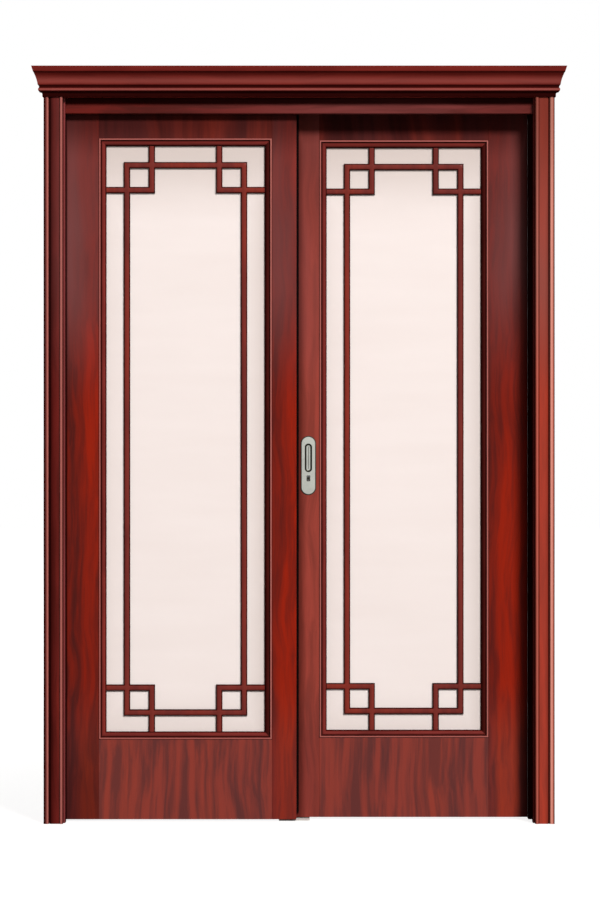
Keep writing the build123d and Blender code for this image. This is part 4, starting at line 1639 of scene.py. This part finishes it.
# The meeting seal's near-black pile also stands in for the shadow line between the leaves.
SHADOW_PILE = Dull(
    "seal_pile_shadow", (0.003, 0.002, 0.002), (0.008, 0.004, 0.004), (1400.0, 1400.0, 90.0),
    rough=(0.9, 1.0), depth=0.001, sheen=0.0,
)
FRAME_SOLIDS = ("jamb_left", "jamb_right", "head_lining", "frieze", "pelmet_front", "pelmet_rear")
LEAF_SOLIDS = ("jamb_stile", "meeting_stile", "top_rail", "bottom_rail")
PULLS = ("pull_face", "pull_back")
HANGER_PARTS = ("axles", "carriages", "hanger_plates", "hanger_fasteners")
HANGERS = tuple(f"{leaf}_{part}" for leaf in LEAVES for part in HANGER_PARTS)
WHEEL_PAIRS = 4
WHEELS = tuple(f"{leaf}_wheels_{1 + pair}" for leaf in LEAVES for pair in range(WHEEL_PAIRS))
FITTINGS: tuple[tuple[Metal | Dull, tuple[str, ...]], ...] = (
    (SPINDLE, ("thumb_turn",)),
    (TRACK, ("track_front", "track_rear")),
    (ZINC, ("lock_case", "lock_hook", "track_screws", *HANGERS)),
    (NYLON, WHEELS),
    (GUIDE, ("floor_guide",)),
    (RUBBER, ("track_stops",)),
    (SHADOW_PILE, ("front_leaf_meeting_seal",)),
)


@dataclass(frozen=True)
class DressedDoor:
    """Finishes of the carried-over solids that aren't drawn again.

    Attributes:
        nodes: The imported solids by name.
    """

    nodes: dict[str, bpy.types.Object]

    def build(self) -> None:
        """Dress every solid that still shows."""
        self.timber()
        self.glazing()
        self.hardware()

    def dress(self, name: str, material: bpy.types.Material) -> None:
        """Give a carried-over solid one finish on all its slots.

        Args:
            name: Name of the solid.
            material: Its finish.
        """
        slots = self.nodes[name].data.materials
        slots.clear()
        slots.append(material)
        LOG.info("dressed %s in %s", name, material.name)

    def timber(self) -> None:
        """Boards of the frame and of the leaves, each from its own place in the log."""
        for name in FRAME_SOLIDS:
            self.dress(name, frame_timber(name))
        for leaf in LEAVES:
            for name in LEAF_SOLIDS:
                self.dress(f"{leaf}_{name}", leaf_timber(leaf, name))

    def glazing(self) -> None:
        """Both frosted panes."""
        for leaf in LEAVES:
            name = f"{leaf}_glass"
            self.dress(name, FrostedGlass(f"frosted_{leaf}", *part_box(name)).material())

    def hardware(self) -> None:
        """Pull, lock, tracks, trolleys, guide, stops and seal."""
        low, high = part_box(PULLS[0])
        middle, round_end = (low + high) / 2.0, (high.x - low.x) / 2.0
        plate = LongOutline((middle.x, middle.z), (high.z - low.z) / 2.0 - round_end, round_end)
        pull = Metal("satin_nickel", NICKEL, NICKEL_BRUSHING, shade_mask=PullShade(plate))
        for finish, names in ((pull, PULLS), *FITTINGS):
            material = finish.material()
            for name in names:
                self.dress(name, material)


@dataclass(frozen=True)
class Lamp:
    """Soft light with a straight-edged face.

    Attributes:
        name: Name of the light.
        place: Where it hangs.
        target: What it points at.
        sides: Width and height of its face.
        power: Power in watts.
        colour: Colour of the light.
    """

    name: str
    place: Place
    target: Place
    sides: Pair
    power: float
    colour: Colour

    def hang(self) -> None:
        """Put the light into the scene."""
        data = bpy.data.lights.new(self.name, "AREA")
        data.shape = "RECTANGLE"
        data.size, data.size_y = self.sides
        data.energy = self.power
        data.color = self.colour
        lamp = bpy.data.objects.new(self.name, data)
        bpy.context.scene.collection.objects.link(lamp)
        lamp.location = self.place
        aim = Vector(self.target) - Vector(self.place)
        lamp.rotation_euler = aim.to_track_quat("-Z", "Y").to_euler()


LAMPS = (
    Lamp("key_light", (9.4, -20.2, 14.5), (0.0, 0.0, 1.1), (5.0, 4.6), 7950.0, (1.0, 0.98, 0.965)),
    Lamp("rear_light", (-12.0, 11.5, 5.6), (0.0, 0.0, 1.1), (4.0, 4.0), 2800.0, (1.0, 0.98, 0.965)),
    Lamp("left_strip", (-5.0, -3.6, 1.6), (-0.2, 0.0, 1.1), (0.5, 3.2), 4.0, (1.0, 0.98, 0.96)),
    Lamp("right_strip", (5.0, -3.0, 1.6), (0.2, 0.0, 1.1), (0.5, 3.2), 14.0, (1.0, 0.98, 0.96)),
    Lamp("upper_card", (-1.0, -9.0, 3.4), (0.0, 0.0, 1.9), (5.0, 1.8), 40.0, (0.97, 0.98, 1.0)),
)


@dataclass(frozen=True)
class Studio:
    """Floor, lights, white surroundings and the camera.

    Attributes:
        camera_place: Where the camera stands.
        lens: Focal length in millimetres.
        sensor: Long side of the sensor in millimetres.
        sight: How far the camera sees.
        sky: Strength of the even sky that lights the door.
        floor_half: Half the side of the floor.
        floor_paint: Colour that takes the door's shadow.
        floor_near: Own brightness of the floor by the door.
        floor_fade: Distance where that brightness begins to rise and where it is full.
    """

    camera_place: Place = (0.0026, -8.0855, 1.097)
    lens: float = 109.12
    sensor: float = 36.0
    sight: float = 200.0
    sky: float = 0.06
    floor_half: float = 30.0
    floor_paint: Colour = (0.24, 0.235, 0.23)
    floor_near: float = 0.86
    floor_fade: Pair = (1.0, 4.0)

    def build(self) -> None:
        """Set up everything that isn't the door."""
        bpy.context.scene.view_settings.view_transform = "Standard"
        self.surroundings()
        self.floor()
        for lamp in LAMPS:
            lamp.hang()
        self.camera()

    def surroundings(self) -> None:
        """World: white to the eye, to gloss and through glass, and a dim even sky for the rest."""
        world = bpy.data.worlds.new("white_surroundings")
        bpy.context.scene.world = world
        world.use_nodes = True
        sheet = NodeSheet(world.node_tree)
        strength = sheet.span(seen_rays(sheet), self.sky, 1.0)
        back = sheet.add("Background", Color=rgba(WHITE), Strength=strength)
        sheet.add("OutputWorld", Surface=back.outputs[0])

    def floor(self) -> None:
        """Pale floor that looks white but keeps the door's shadow."""
        half = self.floor_half
        corners = [(-half, -half, 0.0), (half, -half, 0.0), (half, half, 0.0), (-half, half, 0.0)]
        mesh = bpy.data.meshes.new("floor")
        mesh.from_pydata(corners, [], [(0, 1, 2, 3)])
        floor = bpy.data.objects.new("floor", mesh)
        bpy.context.scene.collection.objects.link(floor)
        material, sheet = new_material("pale_floor")
        away = sheet.vector("LENGTH", sheet.place()).outputs["Value"]
        level = sheet.span(sheet.ramp(away, *self.floor_fade), self.floor_near, 1.0)
        glow = sheet.add("Emission", Color=rgba(WHITE), Strength=sheet.times(seen_rays(sheet), level))
        paint = sheet.add("BsdfDiffuse", Color=rgba(self.floor_paint))
        both = sheet.add("AddShader")
        for number, shader in enumerate((glow, paint)):
            sheet.feed(both, number, shader.outputs[0])
        sheet.add("OutputMaterial", Surface=both.outputs[0])
        mesh.materials.append(material)

    def camera(self) -> None:
        """Level camera square to the door."""
        data = bpy.data.cameras.new("eye")
        data.sensor_width = self.sensor
        data.lens = self.lens
        data.clip_end = self.sight
        eye = bpy.data.objects.new("eye", data)
        bpy.context.scene.collection.objects.link(eye)
        eye.location = self.camera_place
        eye.rotation_euler = (math.radians(90.0), 0.0, 0.0)
        bpy.context.scene.camera = eye


def main() -> None:
    """Load the door, dress it and set the studio round it."""
    logging.basicConfig(level=logging.INFO)
    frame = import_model()
    nodes: dict[str, bpy.types.Object] = frame["nodes"]
    FrameMouldings().build()
    for leaf in LEAVES:
        Glazing(leaf).build()
    DressedDoor(nodes).build()
    Studio().build()


if __name__ == "__main__":
    main()
